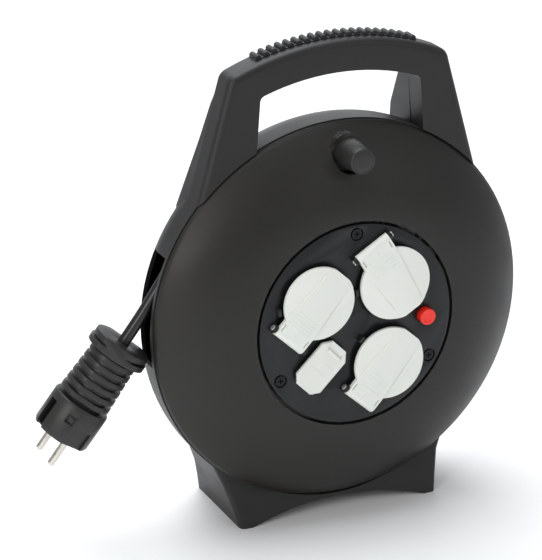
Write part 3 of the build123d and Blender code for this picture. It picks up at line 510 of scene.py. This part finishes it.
# ---------------------------------------------------------------- finishes
def casing_plastic():
    return moulded("casing_plastic", colours().casing, 0.46, sizes().grain, 0.045 * MM, wear=0.35,
                   Specular_IOR_Level=0.42)


def disc_plastic():
    return moulded("disc_plastic", colours().disc, 0.44, sizes().fine_grain, 0.022 * MM, tone=0.16, wear=0.25,
                   Specular_IOR_Level=0.38)


def panel_plastic():
    return moulded("panel_plastic", colours().panel, 0.36, sizes().fine_grain, 0.018 * MM, wear=0.5,
                   Specular_IOR_Level=0.35)


def knob_plastic():
    return moulded("knob_plastic", colours().knob, 0.42, sizes().fine_grain, 0.018 * MM)


def grip_rubber():
    return moulded("grip_rubber", colours().grip, 0.55, sizes().grain, 0.05 * MM, scuffs=0.1)


def lid_plastic():
    return moulded("lid_plastic", colours().lids, 0.34, sizes().fine_grain, 0.008 * MM, tone=0.03, wear=0.12,
                   scuffs=0.35, Subsurface_Weight=0.05, Subsurface_Scale=1.5 * MM)


def gasket_rubber():
    return moulded("gasket_rubber", colours().gasket, 0.62, sizes().grain, 0.03 * MM)


def button_plastic():
    return moulded("button_plastic", colours().button, 0.30, sizes().fine_grain, 0.006 * MM, tone=0.05,
                   wear=0.1)


def inside_plastic():
    return moulded("inside_plastic", colours().inside, 0.50, sizes().grain, 0.04 * MM)


def cable_sheath():
    return moulded("cable_sheath", colours().cable, 0.30, sizes().fine_grain, 0.015 * MM, wear=0.0,
                   scuffs=0.5)


def plug_rubber():
    return moulded("plug_rubber", colours().plug, 0.40, sizes().grain, 0.025 * MM, wear=0.5, scuffs=0.3)


def nickel():
    return metal("nickel_plate", colours().nickel, 0.20)


def pin_steel():
    return metal("bright_pin_steel", (0.93, 0.93, 0.91), 0.42)


def steel():
    return metal("zinc_steel", colours().steel, 0.32)


# black steel of the screws; on the plug's earth clips the same dark steel is painted shade
def black_steel_and_painted_shade():
    return metal("black_oxide_steel", shaded(colours().steel, 0.045), 0.24)


def brass():
    return metal("contact_brass", colours().brass, 0.30)


def wire_insulation():
    """Brown, blue and green cores, told apart by their height beside the drum's axis."""
    material = moulded("wire_insulation", (0.10, 0.045, 0.02), 0.38, sizes().fine_grain, 0.01 * MM, wear=0.0)
    tree = material.node_tree
    if "core_colours" in tree.nodes:
        return material
    place = tree.nodes.new("ShaderNodeTexCoord")
    split = tree.nodes.new("ShaderNodeSeparateXYZ")
    span = tree.nodes.new("ShaderNodeMapRange")
    reach = 4.5 * MM
    span.inputs["From Min"].default_value = AXIS_Z - reach
    span.inputs["From Max"].default_value = AXIS_Z + reach
    ramp = tree.nodes.new("ShaderNodeValToRGB")
    ramp.name = "core_colours"
    ramp.color_ramp.interpolation = "CONSTANT"
    ramp.color_ramp.elements[0].color = (0.05, 0.25, 0.04, 1.0)
    ramp.color_ramp.elements[1].position = 0.66
    ramp.color_ramp.elements[1].color = (0.02, 0.06, 0.35, 1.0)
    brown = ramp.color_ramp.elements.new(0.33)
    brown.color = (0.10, 0.045, 0.02, 1.0)
    tree.links.new(place.outputs["Object"], split.inputs["Vector"])
    tree.links.new(split.outputs["Z"], span.inputs["Value"])
    tree.links.new(span.outputs["Result"], ramp.inputs["Fac"])
    tree.links.new(ramp.outputs["Color"], tree.nodes["Principled BSDF"].inputs["Base Color"])
    return material


# ---------------------------------------------------------------- stage
CAMERA_AZIMUTH = -24.36   # degrees, from the front towards the left
CAMERA_ELEVATION = 21.28
CAMERA_DISTANCE = 1.822   # metres
CAMERA_TARGET = Vector((-0.048, -0.01725, 0.1707))
CAMERA_LENS = 182.8       # millimetres, on a 36 mm sensor

# softboxes: place, aim, size, power, colour
SOFTBOXES = [
    ((-0.15, 0.35, 1.75), (0.0, 0.0, 0.10), 1.7, 30.0, (0.96, 0.98, 1.0)),
    ((-1.55, -0.95, 0.85), (-0.05, 0.0, 0.15), 0.9, 10.0, (1.0, 0.98, 0.94)),
    ((0.9, -1.5, 1.1), (0.0, 0.0, 0.15), 0.7, 2.0, (1.0, 1.0, 1.0)),
    ((0.6, 2.6, 1.3), (0.0, 0.0, 0.20), 2.6, 22.0, (0.96, 0.98, 1.0)),
]


def aimed(place, aim):
    return (Vector(aim) - Vector(place)).to_track_quat("-Z", "Y").to_euler()


class REEL_OT_stage(bpy.types.Operator):
    """Camera, soft studio light and a pale floor"""

    bl_idname = "reel.stage"
    bl_label = "Stage"

    def execute(self, context):
        azimuth, elevation = radians(CAMERA_AZIMUTH), radians(CAMERA_ELEVATION)
        out = Vector((cos(elevation) * sin(azimuth), -cos(elevation) * cos(azimuth), sin(elevation)))
        place = CAMERA_TARGET + out * CAMERA_DISTANCE
        deselect()
        bpy.ops.object.camera_add(location=place, rotation=aimed(place, CAMERA_TARGET))
        camera = named(context.object, "studio_camera")
        camera.data.lens = CAMERA_LENS
        camera.data.sensor_width = 36.0
        camera.data.clip_end = 50.0
        context.scene.camera = camera
        for number, (spot, aim, size, power, tint) in enumerate(SOFTBOXES, 1):
            bpy.ops.object.light_add(type="AREA", location=spot, rotation=aimed(spot, aim))
            light = named(context.object, f"softbox_{number}")
            light.data.shape = "DISK"
            light.data.size = size
            light.data.energy = power
            light.data.color = tint
        world = bpy.data.worlds.new("studio")
        world.use_nodes = True
        world.node_tree.nodes["Background"].inputs["Color"].default_value = (0.95, 0.97, 1.0, 1.0)
        world.node_tree.nodes["Background"].inputs["Strength"].default_value = 0.45
        context.scene.world = world
        context.scene.view_settings.view_transform = "Standard"
        deselect()
        bpy.ops.mesh.primitive_plane_add(size=14.0)
        floor = named(context.object, "studio_floor")
        paint = moulded("floor_paint", colours().floor, 0.7, 4 * MM, 0.01 * MM, tone=0.004, wear=0.0,
                        scuffs=0.0)
        floor.data.materials.append(paint)
        return {"FINISHED"}


# ---------------------------------------------------------------- plug
# route of the lead from the winding, through the slot, to the plug, in metres
LEAD_ROUTE = [
    (0.0138, 0.00175, 0.2547),
    (-0.0255, -0.00025, 0.2526),
    (-0.0665, -0.00225, 0.2370),
    (-0.1005, -0.00425, 0.2045),
    (-0.12751, -0.00623, 0.16281),
    (-0.1446, -0.00275, 0.1384),
]
PIN_ROW = Vector((0.048, -0.983, -0.174))   # from one plug pin to the other
PLUG_LENGTH = 46.7        # flange and ribbed neck, up to the body
PLUG_BODY = 26.0
PLUG_BODY_R = 19.5
PLUG_PIN_R = 2.4
PLUG_PIN_LENGTH = 19.0
PIN_ROOT_R = 2.0
PIN_ROOT_LENGTH = 11.9
PLUG_PIN_HALF_PITCH = 9.5
PLUG_FLAT = 15.9          # distance of the neck's flats from its middle
FLAT_TURN = 36.0          # turn of the flats and of the body's windows from the pins' row, in degrees
NECK_RIBS = 6
NECK_RIB_PITCH = 6.0
NECK_BORE_R = 4.1
NECK_CORE_R = 14.2


def plug_place():
    """Frame of the plug: z runs from the flange to the pins, x through both pins."""
    top, before = Vector(LEAD_ROUTE[-1]), Vector(LEAD_ROUTE[-2])
    along = (top - before).normalized()
    across = (PIN_ROW - along * PIN_ROW.dot(along)).normalized()
    place = Matrix((across, along.cross(across), along)).transposed().to_4x4()
    place.translation = top
    return place


def flattened(piece, distance, turn):
    """Cuts two flats on either side of a turned piece, at a turn from x."""
    for side in (-1, 1):
        normal = side * Vector((cos(radians(turn)), sin(radians(turn)), 0))
        open_mesh(piece)
        bpy.ops.mesh.select_all(action="SELECT")
        bpy.ops.mesh.bisect(plane_co=normal * distance * MM, plane_no=normal, use_fill=True, clear_outer=True)
        close_mesh()


def around(piece, turn):
    """Turns a piece about the plug's axis."""
    activate(piece)
    piece.matrix_world = Matrix.Rotation(radians(turn), 4, "Z") @ piece.matrix_world
    bpy.ops.object.transform_apply(location=True, rotation=True, scale=True)
    return piece


class REEL_OT_plug(bpy.types.Operator):
    """Plug: two-ringed flange, ribbed neck, body with guide grooves, and pins"""

    bl_idname = "reel.plug"
    bl_label = "Plug"

    def neck(self):
        bore, core = NECK_BORE_R, NECK_CORE_R
        section = [(bore, 0.0), (19.5, 0.0), (19.5, 3.6), (17.2, 3.9), (17.2, 5.0), (20.5, 5.2), (20.5, 9.0)]
        for rib in range(NECK_RIBS):
            start, radius = 10.5 + NECK_RIB_PITCH * rib, 16.5 + 0.3 * rib
            section += [(core, start), (radius - 0.2, start + 0.1), (radius, start + 3.5),
                        (core, start + 3.7)]
        section += [(core, PLUG_LENGTH), (bore, PLUG_LENGTH), (bore, 0.0)]
        piece = turned("plug_neck", section, 72)
        flattened(piece, PLUG_FLAT, FLAT_TURN)
        rounded(piece, 0.35 * MM, 2, 25.0)
        smooth(piece)
        return piece

    def body(self):
        low, high = PLUG_LENGTH + 0.02, PLUG_LENGTH + PLUG_BODY
        section = [(0, low), (PLUG_BODY_R - 0.6, low), (PLUG_BODY_R, low + 1.2), (PLUG_BODY_R, high - 2.0),
                   (PLUG_BODY_R - 0.8, high), (0, high)]
        piece = turned("plug_shell", section, 96)
        for side in (-1, 1):
            reach = side * PLUG_BODY_R
            cut(piece, bar("groove", (7.0, 5.0, PLUG_BODY), (0, reach - side, low + 6 + PLUG_BODY / 2)))
            cut(piece, bar("guide", (6.0, 14.0, 26.0), (reach, 0, high)))
            cut(piece, around(bar("window", (5.0, 6.4, 6.4), (reach, 0, high - 16.5)), FLAT_TURN))
            latch = bar("latch", (3.0, 3.2, 3.4), (reach - 2.9 * side, -0.6 * side, high - 16.1))
            cut(piece, around(latch, FLAT_TURN), "UNION")
            cut(piece, rod("pin_hole", PIN_ROOT_R + 0.02, 24.0, (side * PLUG_PIN_HALF_PITCH, 0, high)))
        rounded(piece, 0.5 * MM, 3, 30.0)
        smooth(piece)
        return piece

    def pins(self):
        face = PLUG_LENGTH + PLUG_BODY
        root_end, high = face - PIN_ROOT_LENGTH, face + PLUG_PIN_LENGTH
        tip = [(PLUG_PIN_R, high - 2.0), (PLUG_PIN_R - 0.25, high - 1.0), (PLUG_PIN_R - 0.9, high - 0.2),
               (0, high)]
        pins = []
        for side in (-1, 1):
            root = [(0, root_end), (PIN_ROOT_R, root_end), (PIN_ROOT_R, face), (PLUG_PIN_R, face)]
            pin = turned("plug_pin", root + tip, 40)
            pin.location.x = side * PLUG_PIN_HALF_PITCH * MM
            bpy.ops.object.transform_apply(location=True)
            pins.append(pin)
        piece = named(joined(*pins), "plug_pin_pair")
        smooth(piece, 60.0)
        return piece

    def execute(self, context):
        place = plug_place()
        settle(self.neck(), place, plug_rubber(), "stand", "plug", "plug_grip")
        settle(self.body(), place, plug_rubber(), "stand", "plug", "plug_body")
        settle(self.pins(), place, nickel(), "stand", "pins", "plug_pins")
        return {"FINISHED"}


# ---------------------------------------------------------------- lead
def drawn_cord(name, points, diameter, detail):
    """Round cord on one smooth open spline through its control points."""
    deselect()
    curve = bpy.data.curves.new(name, "CURVE")
    curve.dimensions = "3D"
    curve.bevel_depth = diameter / 2
    curve.bevel_resolution = detail
    curve.use_fill_caps = True
    curve.resolution_u = 8
    spline = curve.splines.new("NURBS")
    spline.points.add(len(points) - 1)
    for control, point in zip(spline.points, points):
        control.co = (*point, 1.0)
    spline.order_u = 3
    spline.use_endpoint_u = True
    piece = bpy.data.objects.new(name, curve)
    bpy.context.collection.objects.link(piece)
    curve.materials.append(cable_sheath())
    return piece


class REEL_OT_lead(bpy.types.Operator):
    """The lead's free end, from the winding through the slot into the plug"""

    bl_idname = "reel.lead"
    bl_label = "Lead"

    def execute(self, context):
        diameter = sizes().cable
        lead = drawn_cord("lead", LEAD_ROUTE, diameter, 6)
        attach(lead, "stand")
        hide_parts("cable_lead")
        return {"FINISHED"}


# ---------------------------------------------------------------- winding
LAYERS = (5, 5, 5, 2)     # turns side by side in each layer, from the core outwards
POINTS_PER_TURN = 24


class REEL_OT_winding(bpy.types.Operator):
    """The wound cable: flat turns side by side that step over to their neighbours, layer upon layer"""

    bl_idname = "reel.winding"
    bl_label = "Winding"

    def turns(self, diameter):
        """Radius and depth of each turn, in millimetres."""
        low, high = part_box("cable_winding")
        inner = (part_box("drum_core")[1].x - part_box("drum_core")[0].x) / 2 / MM
        wide = diameter / MM
        back, front = depth(high.y) + wide / 2, depth(low.y) - wide / 2
        pitch = (front - back) / (max(LAYERS) - 1)
        places = []
        for layer, count in enumerate(LAYERS):
            radius = inner + wide / 2 + 0.15 + layer * (wide + 0.06)
            across = [back + pitch * i for i in range(count)]
            if layer % 2:
                across = [front - pitch * i for i in range(count)]
            places += [(radius, forward) for forward in across]
        return places

    def execute(self, context):
        diameter = sizes().cable
        places = self.turns(diameter)
        step_share = 0.25     # part of each turn in which the cable steps over to the next place
        points = []
        for number in range(len(places)):
            here = places[number]
            there = places[min(number + 1, len(places) - 1)]
            for i in range(POINTS_PER_TURN):
                share = i / POINTS_PER_TURN
                blend = max(0.0, (share - 1 + step_share) / step_share)
                blend = blend * blend * (3 - 2 * blend)
                radius = (here[0] + (there[0] - here[0]) * blend) / cos(pi / POINTS_PER_TURN)
                forward = here[1] + (there[1] - here[1]) * blend
                turn = pi - 2 * pi * share
                points.append((radius * MM * cos(turn), RIM_Y - forward * MM,
                               AXIS_Z + radius * MM * sin(turn)))
        winding = drawn_cord("winding", points, diameter, 3)
        winding.data.resolution_u = 3
        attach(winding, "drum")
        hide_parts("cable_winding")
        return {"FINISHED"}


# ---------------------------------------------------------------- housing
class REEL_OT_housing(bpy.types.Operator):
    """Front frame and rear shell"""

    bl_idname = "reel.housing"
    bl_label = "Housing"

    def execute(self, context):
        for node in ("front_frame", "rear_shell"):
            piece = traced_copy(node, f"{node}_moulding", whole_faces=False)
            smooth(piece, 32.0)
            settle(piece, Matrix.Identity(4), casing_plastic(), "stand", "casing", node)
        return {"FINISHED"}


class REEL_OT_grip(bpy.types.Operator):
    """Ribbed strip on top of the handle"""

    bl_idname = "reel.grip"
    bl_label = "Grip strip"

    def execute(self, context):
        piece = traced_copy("handle_grip", "grip_strip")
        rounded(piece, sizes().edge, 2, 40.0)
        smooth(piece, 40.0)
        settle(piece, Matrix.Identity(4), grip_rubber(), "stand", "grip", "handle_grip")
        return {"FINISHED"}


# ---------------------------------------------------------------- front disc
LIP_R = 69.8              # edge of the panel's seat
SEAT_TOP = 22.8
SEAT_BACK = 20.2
SEAT_R = 64.5
CORE_R = 78.0
DOME_TOP = 26.6
DOME_R = 82.6             # section radius of the dome
DISC_WALL = 2.6
RIM_TURN = 45.6           # where the dome's section meets the rim's rounding, in degrees
KNOB_SEAT_R = 12.6
KNOB_SEAT = 12.6


class REEL_OT_disc(bpy.types.Operator):
    """Domed front disc with the knob's seat"""

    bl_idname = "reel.disc"
    bl_label = "Front disc"

    def execute(self, context):
        centre = DOME_TOP - DOME_R
        rim = arc(LIP_R, centre, DOME_R, 90.0, RIM_TURN, 40)
        start, corner, end = rim[-1], (DISC_R, rim[-1][1] - 1.96), (DISC_R, RIM_BACK)
        for i in range(1, 6):
            t = i / 5
            weights = ((1 - t) ** 2, 2 * t * (1 - t), t * t)
            rim.append(tuple(sum(w * p[k] for w, p in zip(weights, (start, corner, end))) for k in (0, 1)))
        inner_r = DOME_R - DISC_WALL
        inner_start = degrees(asin((RIM_BACK - centre) / inner_r))
        inner_end = 90 - degrees(asin((CORE_R - LIP_R) / inner_r))
        inside = arc(LIP_R, centre, inner_r, inner_start, inner_end, 24)
        seat = [(CORE_R, SEAT_BACK), (SEAT_R, SEAT_BACK), (SEAT_R, SEAT_TOP), (LIP_R, SEAT_TOP),
                (LIP_R, DOME_TOP)]
        piece = turned("front_dome", rim + inside + seat, 224)
        up = middle("crank_knob")[1]
        boss = rod("boss", KNOB_SEAT_R, KNOB_SEAT - 5.0, (0, up, (KNOB_SEAT + 5.0) / 2), vertices=96)
        pocket = rod("pocket", KNOB_SEAT_R, 16.0, (0, up, KNOB_SEAT + 8.0), vertices=96)
        cut(piece, boss, "UNION")
        cut(piece, pocket)
        rounded(piece, 0.5 * MM, 3, 40.0)
        smooth(piece, 36.0)
        settle(piece, facing(0.0), disc_plastic(), "drum", "disc", "front_disc")
        return {"FINISHED"}


# ---------------------------------------------------------------- socket panel
PANEL_FRONT = 26.4
SMALL_LID_AT = (-25.9, -25.0)
SMALL_LID_TURN = 225.0
SMALL_LID_BACK = 28.0
SMALL_HINGE = 16.0
SMALL_LUG = (7.0, 5.0, 4.0)
SMALL_LUG_HALF_PITCH = 9.0


class REEL_OT_panel(bpy.types.Operator):
    """Socket panel with the round lids' lugs and catches; the small lid covers the place of its own lugs"""

    bl_idname = "reel.panel"
    bl_label = "Socket panel"

    def execute(self, context):
        piece = traced_copy("socket_panel", "panel_plate")
        for side in (-1, 1):
            above = PANEL_FRONT + SMALL_LUG[2] / 2 + 0.03 - SMALL_LID_BACK
            lug = bar("lug", SMALL_LUG, (SMALL_HINGE, side * SMALL_LUG_HALF_PITCH, above))
            lug.matrix_world = facing(SMALL_LID_BACK, SMALL_LID_AT, SMALL_LID_TURN)
            bpy.ops.object.transform_apply(location=True, rotation=True, scale=True)
            cut(piece, lug)
        rounded(piece, 0.35 * MM, 2, 40.0)
        smooth(piece, 36.0)
        settle(piece, Matrix.Identity(4), panel_plastic(), "drum", "panel", "socket_panel")
        return {"FINISHED"}


# ---------------------------------------------------------------- lids
LID_R = 24.5
LID_BACK = 29.9
LID_T = 3.0
ARM_HALF = 12.5
BAND_END_HALF = 9.0       # half width of the raised band at the lid's free end
BAND_RISE = 0.3
HINGE_REACH = 30.0
HINGE_LIFT = -0.1         # hinge pin above the lid's rear face
BARREL_R = 3.1
PIN_HEAD_AT = 15.4        # middle of a hinge pin's head, from the lid's middle line
PIN_HEAD_R = 2.0
PIN_HEAD_T = 0.6
FREE_END = 14.0           # half angle of the flat at the lid's free end, in degrees


class REEL_OT_lids(bpy.types.Operator):
    """Three round lids: raised band, falling sides, hinge barrel, small ribs and slits"""

    bl_idname = "reel.lids"
    bl_label = "Round lids"

    def outline(self):
        start = degrees(asin(ARM_HALF / LID_R))
        upper = arc(0, 0, LID_R, start, 180.0 - FREE_END, 30)
        lower = arc(0, 0, LID_R, 180.0 + FREE_END, 360.0 - start, 30)
        return [(HINGE_REACH, ARM_HALF)] + upper + lower + [(HINGE_REACH, -ARM_HALF)]

    def band(self):
        """Raised band from the hinge to the free end, a little narrower there."""
        root = LID_R * cos(asin(ARM_HALF / LID_R))
        tip = LID_R * cos(radians(FREE_END))
        half = [(HINGE_REACH, ARM_HALF), (root, ARM_HALF), (-tip - 1.0, BAND_END_HALF)]
        return half + [(x, -y) for x, y in reversed(half)]

    def lid(self, name):
        top, fall = LID_T - BAND_RISE, sizes().lid_fall
        piece = plate(name, self.outline(), 0.0, top)
        for side in (-1, 1):
            open_mesh(piece)
            beside = (ARM_HALF + 0.05) * MM
            pick(piece, "verts", lambda vert: vert.co.z > top / 2 * MM and side * vert.co.y > beside)
            bpy.ops.transform.translate(value=(0, 0, -fall))
            close_mesh()
        cut(piece, plate("band", self.band(), 0.6, LID_T), "UNION")
        trim = plate("trim", self.outline(), -1.0, LID_T + 1.0)
        cut(piece, trim, "INTERSECT")
        rounded(piece, 0.4 * MM, 3, 40.0)
        extras = [rod("barrel", BARREL_R, 2 * ARM_HALF, (HINGE_REACH, 0, HINGE_LIFT), "Y", 40)]
        extras += [bar("rib", (1.0, 17.0, 0.4), (12.0 + 2.4 * i, 0, LID_T)) for i in range(5)]
        extras += [rod("dot", 0.8, 0.7, (26.2, 0, LID_T), vertices=24)]
        for extra in extras:
            rounded(extra, 0.15 * MM, 2, 40.0)
        for side in (-1, 1):
            cut(piece, bar("slit", (5.0, 0.9, 2.4), (26.0, side * (ARM_HALF - 1.9), LID_T)))
        joined(piece, *extras)
        smooth(piece, 24.0)
        return piece

    def pin_ends(self, places):
        """Bright heads of the hinge pins, outside the panel's lugs."""
        heads = []
        for at, turn in places:
            for side in (-1, 1):
                spot = (HINGE_REACH, side * PIN_HEAD_AT, HINGE_LIFT)
                head = rod("head", PIN_HEAD_R, PIN_HEAD_T, spot, "Y", 32)
                rounded(head, 0.2 * MM, 2, 40.0)
                head.matrix_world = facing(LID_BACK, at, turn)
                bpy.ops.object.transform_apply(location=True, rotation=True, scale=True)
                heads.append(head)
        piece = named(joined(*heads), "hinge_pin_heads")
        smooth(piece, 30.0)
        settle(piece, Matrix.Identity(4), pin_steel(), "drum", "pins")

    def execute(self, context):
        places = []
        for side in SIDES:
            at, hinge = middle(f"insert_{side}"), middle(f"lid_spring_{side}")
            turn = degrees(atan2(hinge[1] - at[1], hinge[0] - at[0]))
            piece = self.lid(f"round_lid_{side}")
            settle(piece, facing(LID_BACK, at, turn), lid_plastic(), f"{side}_lid", "lids", f"lid_{side}")
            places.append((at, turn))
        self.pin_ends(places)
        return {"FINISHED"}


SMALL_LID_SIDE = [(-18.2, 6.5), (-12.5, 11.6), (12.8, 11.6), (17.8, 6.5)]
SMALL_LID_T = 2.5
SMALL_BARREL_R = 1.9


class REEL_OT_small_lid(bpy.types.Operator):
    """Octagonal lid of the small socket, with its border, finger ridge and hollow"""

    bl_idname = "reel.small_lid"
    bl_label = "Small lid"

    def execute(self, context):
        outline = SMALL_LID_SIDE + [(x, -y) for x, y in reversed(SMALL_LID_SIDE)]
        piece = plate("small_lid_plate", outline, 0.0, SMALL_LID_T - 0.7)
        open_mesh(piece)
        pick(piece, "faces", lambda face: face.normal.z > 0.9)
        bpy.ops.mesh.inset(thickness=0.9 * MM, depth=0.7 * MM)
        bpy.ops.mesh.inset(thickness=0.8 * MM, depth=-0.12 * MM)
        close_mesh()
        hollow = bar("hollow", (5.6, 13.5, 3.0), (0, 0, 0))
        hollow.rotation_euler.y = radians(9.0)
        hollow.location = Vector((-15.4, 0, SMALL_LID_T + 0.75)) * MM
        activate(hollow)
        bpy.ops.object.transform_apply(location=True, rotation=True)
        cut(piece, hollow)
        rounded(piece, 0.3 * MM, 3, 25.0)
        extras = [bar("finger_ridge", (1.9, 11.0, 1.9), (-11.4, 0, SMALL_LID_T + 0.25))]
        extras += [bar("ridge", (0.7, 14.0, 0.45), (at, 0, SMALL_LID_T - 0.1)) for at in (-3.0, 3.2)]
        extras += [rod("barrel", SMALL_BARREL_R, 13.0, (SMALL_HINGE, 0, 0.6), "Y", 32)]
        for extra in extras:
            rounded(extra, 0.22 * MM, 3, 40.0)
        joined(piece, *extras)
        smooth(piece, 33.0)
        settle(piece, facing(SMALL_LID_BACK, SMALL_LID_AT, SMALL_LID_TURN), lid_plastic(), "small_lid",
               "lids", "euro_lid")
        return {"FINISHED"}


# ---------------------------------------------------------------- button and knob
class REEL_OT_button(bpy.types.Operator):
    """Red reset button with a shallow dish"""

    bl_idname = "reel.button"
    bl_label = "Reset button"

    def execute(self, context):
        front = depth(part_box("reset_button")[0].y)
        back = depth(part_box("reset_button")[1].y)
        stem, cap, cap_back, dish = 2.5, 5.4, 24.6, 3.7
        section = [(0, back), (stem, back), (stem, cap_back), (cap, cap_back), (cap, front), (dish, front),
                   (dish - 0.3, front - 0.45), (0, front - 0.6)]
        piece = turned("button_cap", section, 64)
        rounded(piece, 0.45 * MM, 4, 30.0)
        smooth(piece, 34.0)
        settle(piece, facing(0.0, middle("reset_button")), button_plastic(), "button", "button",
               "reset_button")
        return {"FINISHED"}


class REEL_OT_knob(bpy.types.Operator):
    """Conical crank knob and the cap in its end"""

    bl_idname = "reel.knob"
    bl_label = "Crank knob"

    def execute(self, context):
        at = middle("crank_knob")
        front, back = depth(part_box("crank_knob")[0].y), depth(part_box("crank_knob")[1].y)
        bore, head, wide, narrow, mouth = 4.06, 29.0, 10.25, 8.5, 7.0
        section = [(bore, back), (wide, back), (narrow, front - 0.9), (narrow - 0.35, front - 0.25),
                   (narrow - 0.95, front), (mouth, front), (mouth, head), (bore, head), (bore, back)]
        piece = turned("knob_shell", section, 96)
        rounded(piece, 0.3 * MM, 3, 40.0)
        smooth(piece, 40.0)
        settle(piece, facing(0.0, at), knob_plastic(), "knob", "knob", "crank_knob")
        cap = turned("knob_end", [(0, 32.2), (mouth - 0.03, 32.2), (mouth - 0.03, front - 0.15),
                                  (mouth - 0.4, front), (3.0, front + 0.12), (0, front + 0.15)], 96)
        smooth(cap, 40.0)
        settle(cap, facing(0.0, at), knob_plastic(), "knob", "knob", "knob_cap")
        return {"FINISHED"}


# ---------------------------------------------------------------- nodes that keep their shape
FINISHES = {
    # the plug's earth clips are nickel-plated; their dark steel here is painted shade
    black_steel_and_painted_shade: ("panel_screws", "drum_screws", "clamp_screws", "casing_screws", "plug_earth_clips"),
    steel: ("axle_screws", "axle_screw", "axle_washer", "lid_pins", "lid_spring_left", "lid_spring_upper",
            "lid_spring_lower", "button_spring", "earth_clips"),
    brass: ("contact_sleeves", "busbar_live", "busbar_neutral", "busbar_earth"),
    inside_plastic: ("drum_core", "rear_flange", "axle", "cable_clamp", "breaker_body", "knob_spindle"),
    panel_plastic: ("insert_left", "insert_upper", "insert_lower", "euro_insert"),
    gasket_rubber: ("gasket_left", "gasket_upper", "gasket_lower", "hub_bush"),
    cable_sheath: ("inner_lead",),
    wire_insulation: ("inner_wires",),
}


class REEL_OT_finishes(bpy.types.Operator):
    """Materials of the nodes whose own shape is kept; the button's spring gets its own copy of its mesh"""

    bl_idname = "reel.finishes"
    bl_label = "Finishes"

    def execute(self, context):
        for make, nodes in FINISHES.items():
            for node in nodes:
                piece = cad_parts[node]
                piece.data.materials.clear()
                piece.data.materials.append(make())
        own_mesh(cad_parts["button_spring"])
        return {"FINISHED"}


# ---------------------------------------------------------------- panel in the sidebar
OPERATORS = [REEL_OT_stage, REEL_OT_plug, REEL_OT_lead, REEL_OT_winding, REEL_OT_housing, REEL_OT_grip,
             REEL_OT_disc, REEL_OT_panel, REEL_OT_lids, REEL_OT_small_lid, REEL_OT_button, REEL_OT_knob,
             REEL_OT_finishes]


class REEL_PT_sidebar(bpy.types.Panel):
    """Lists the reel's pieces, colours and sizes"""

    bl_idname = "REEL_PT_sidebar"
    bl_label = "Cord reel"
    bl_space_type = "VIEW_3D"
    bl_region_type = "UI"
    bl_category = "Reel"

    def draw(self, context):
        for maker in OPERATORS:
            self.layout.operator(maker.bl_idname)
        for group in (context.scene.reel_colours, context.scene.reel_sizes):
            box = self.layout.box()
            for name in group.__annotations__:
                box.prop(group, name)


CLASSES = [ReelColours, ReelSizes] + OPERATORS + [REEL_PT_sidebar]


def register():
    for each in CLASSES:
        bpy.utils.register_class(each)
    bpy.types.Scene.reel_colours = PointerProperty(type=ReelColours)
    bpy.types.Scene.reel_sizes = PointerProperty(type=ReelSizes)


def unregister():
    del bpy.types.Scene.reel_colours
    del bpy.types.Scene.reel_sizes
    for each in reversed(CLASSES):
        bpy.utils.unregister_class(each)


def main():
    register()
    bpy.ops.reel.stage()
    bpy.ops.reel.plug()
    bpy.ops.reel.lead()
    bpy.ops.reel.winding()
    bpy.ops.reel.housing()
    bpy.ops.reel.grip()
    bpy.ops.reel.disc()
    bpy.ops.reel.panel()
    bpy.ops.reel.lids()
    bpy.ops.reel.small_lid()
    bpy.ops.reel.button()
    bpy.ops.reel.knob()
    bpy.ops.reel.finishes()


if __name__ == "__main__":
    main()
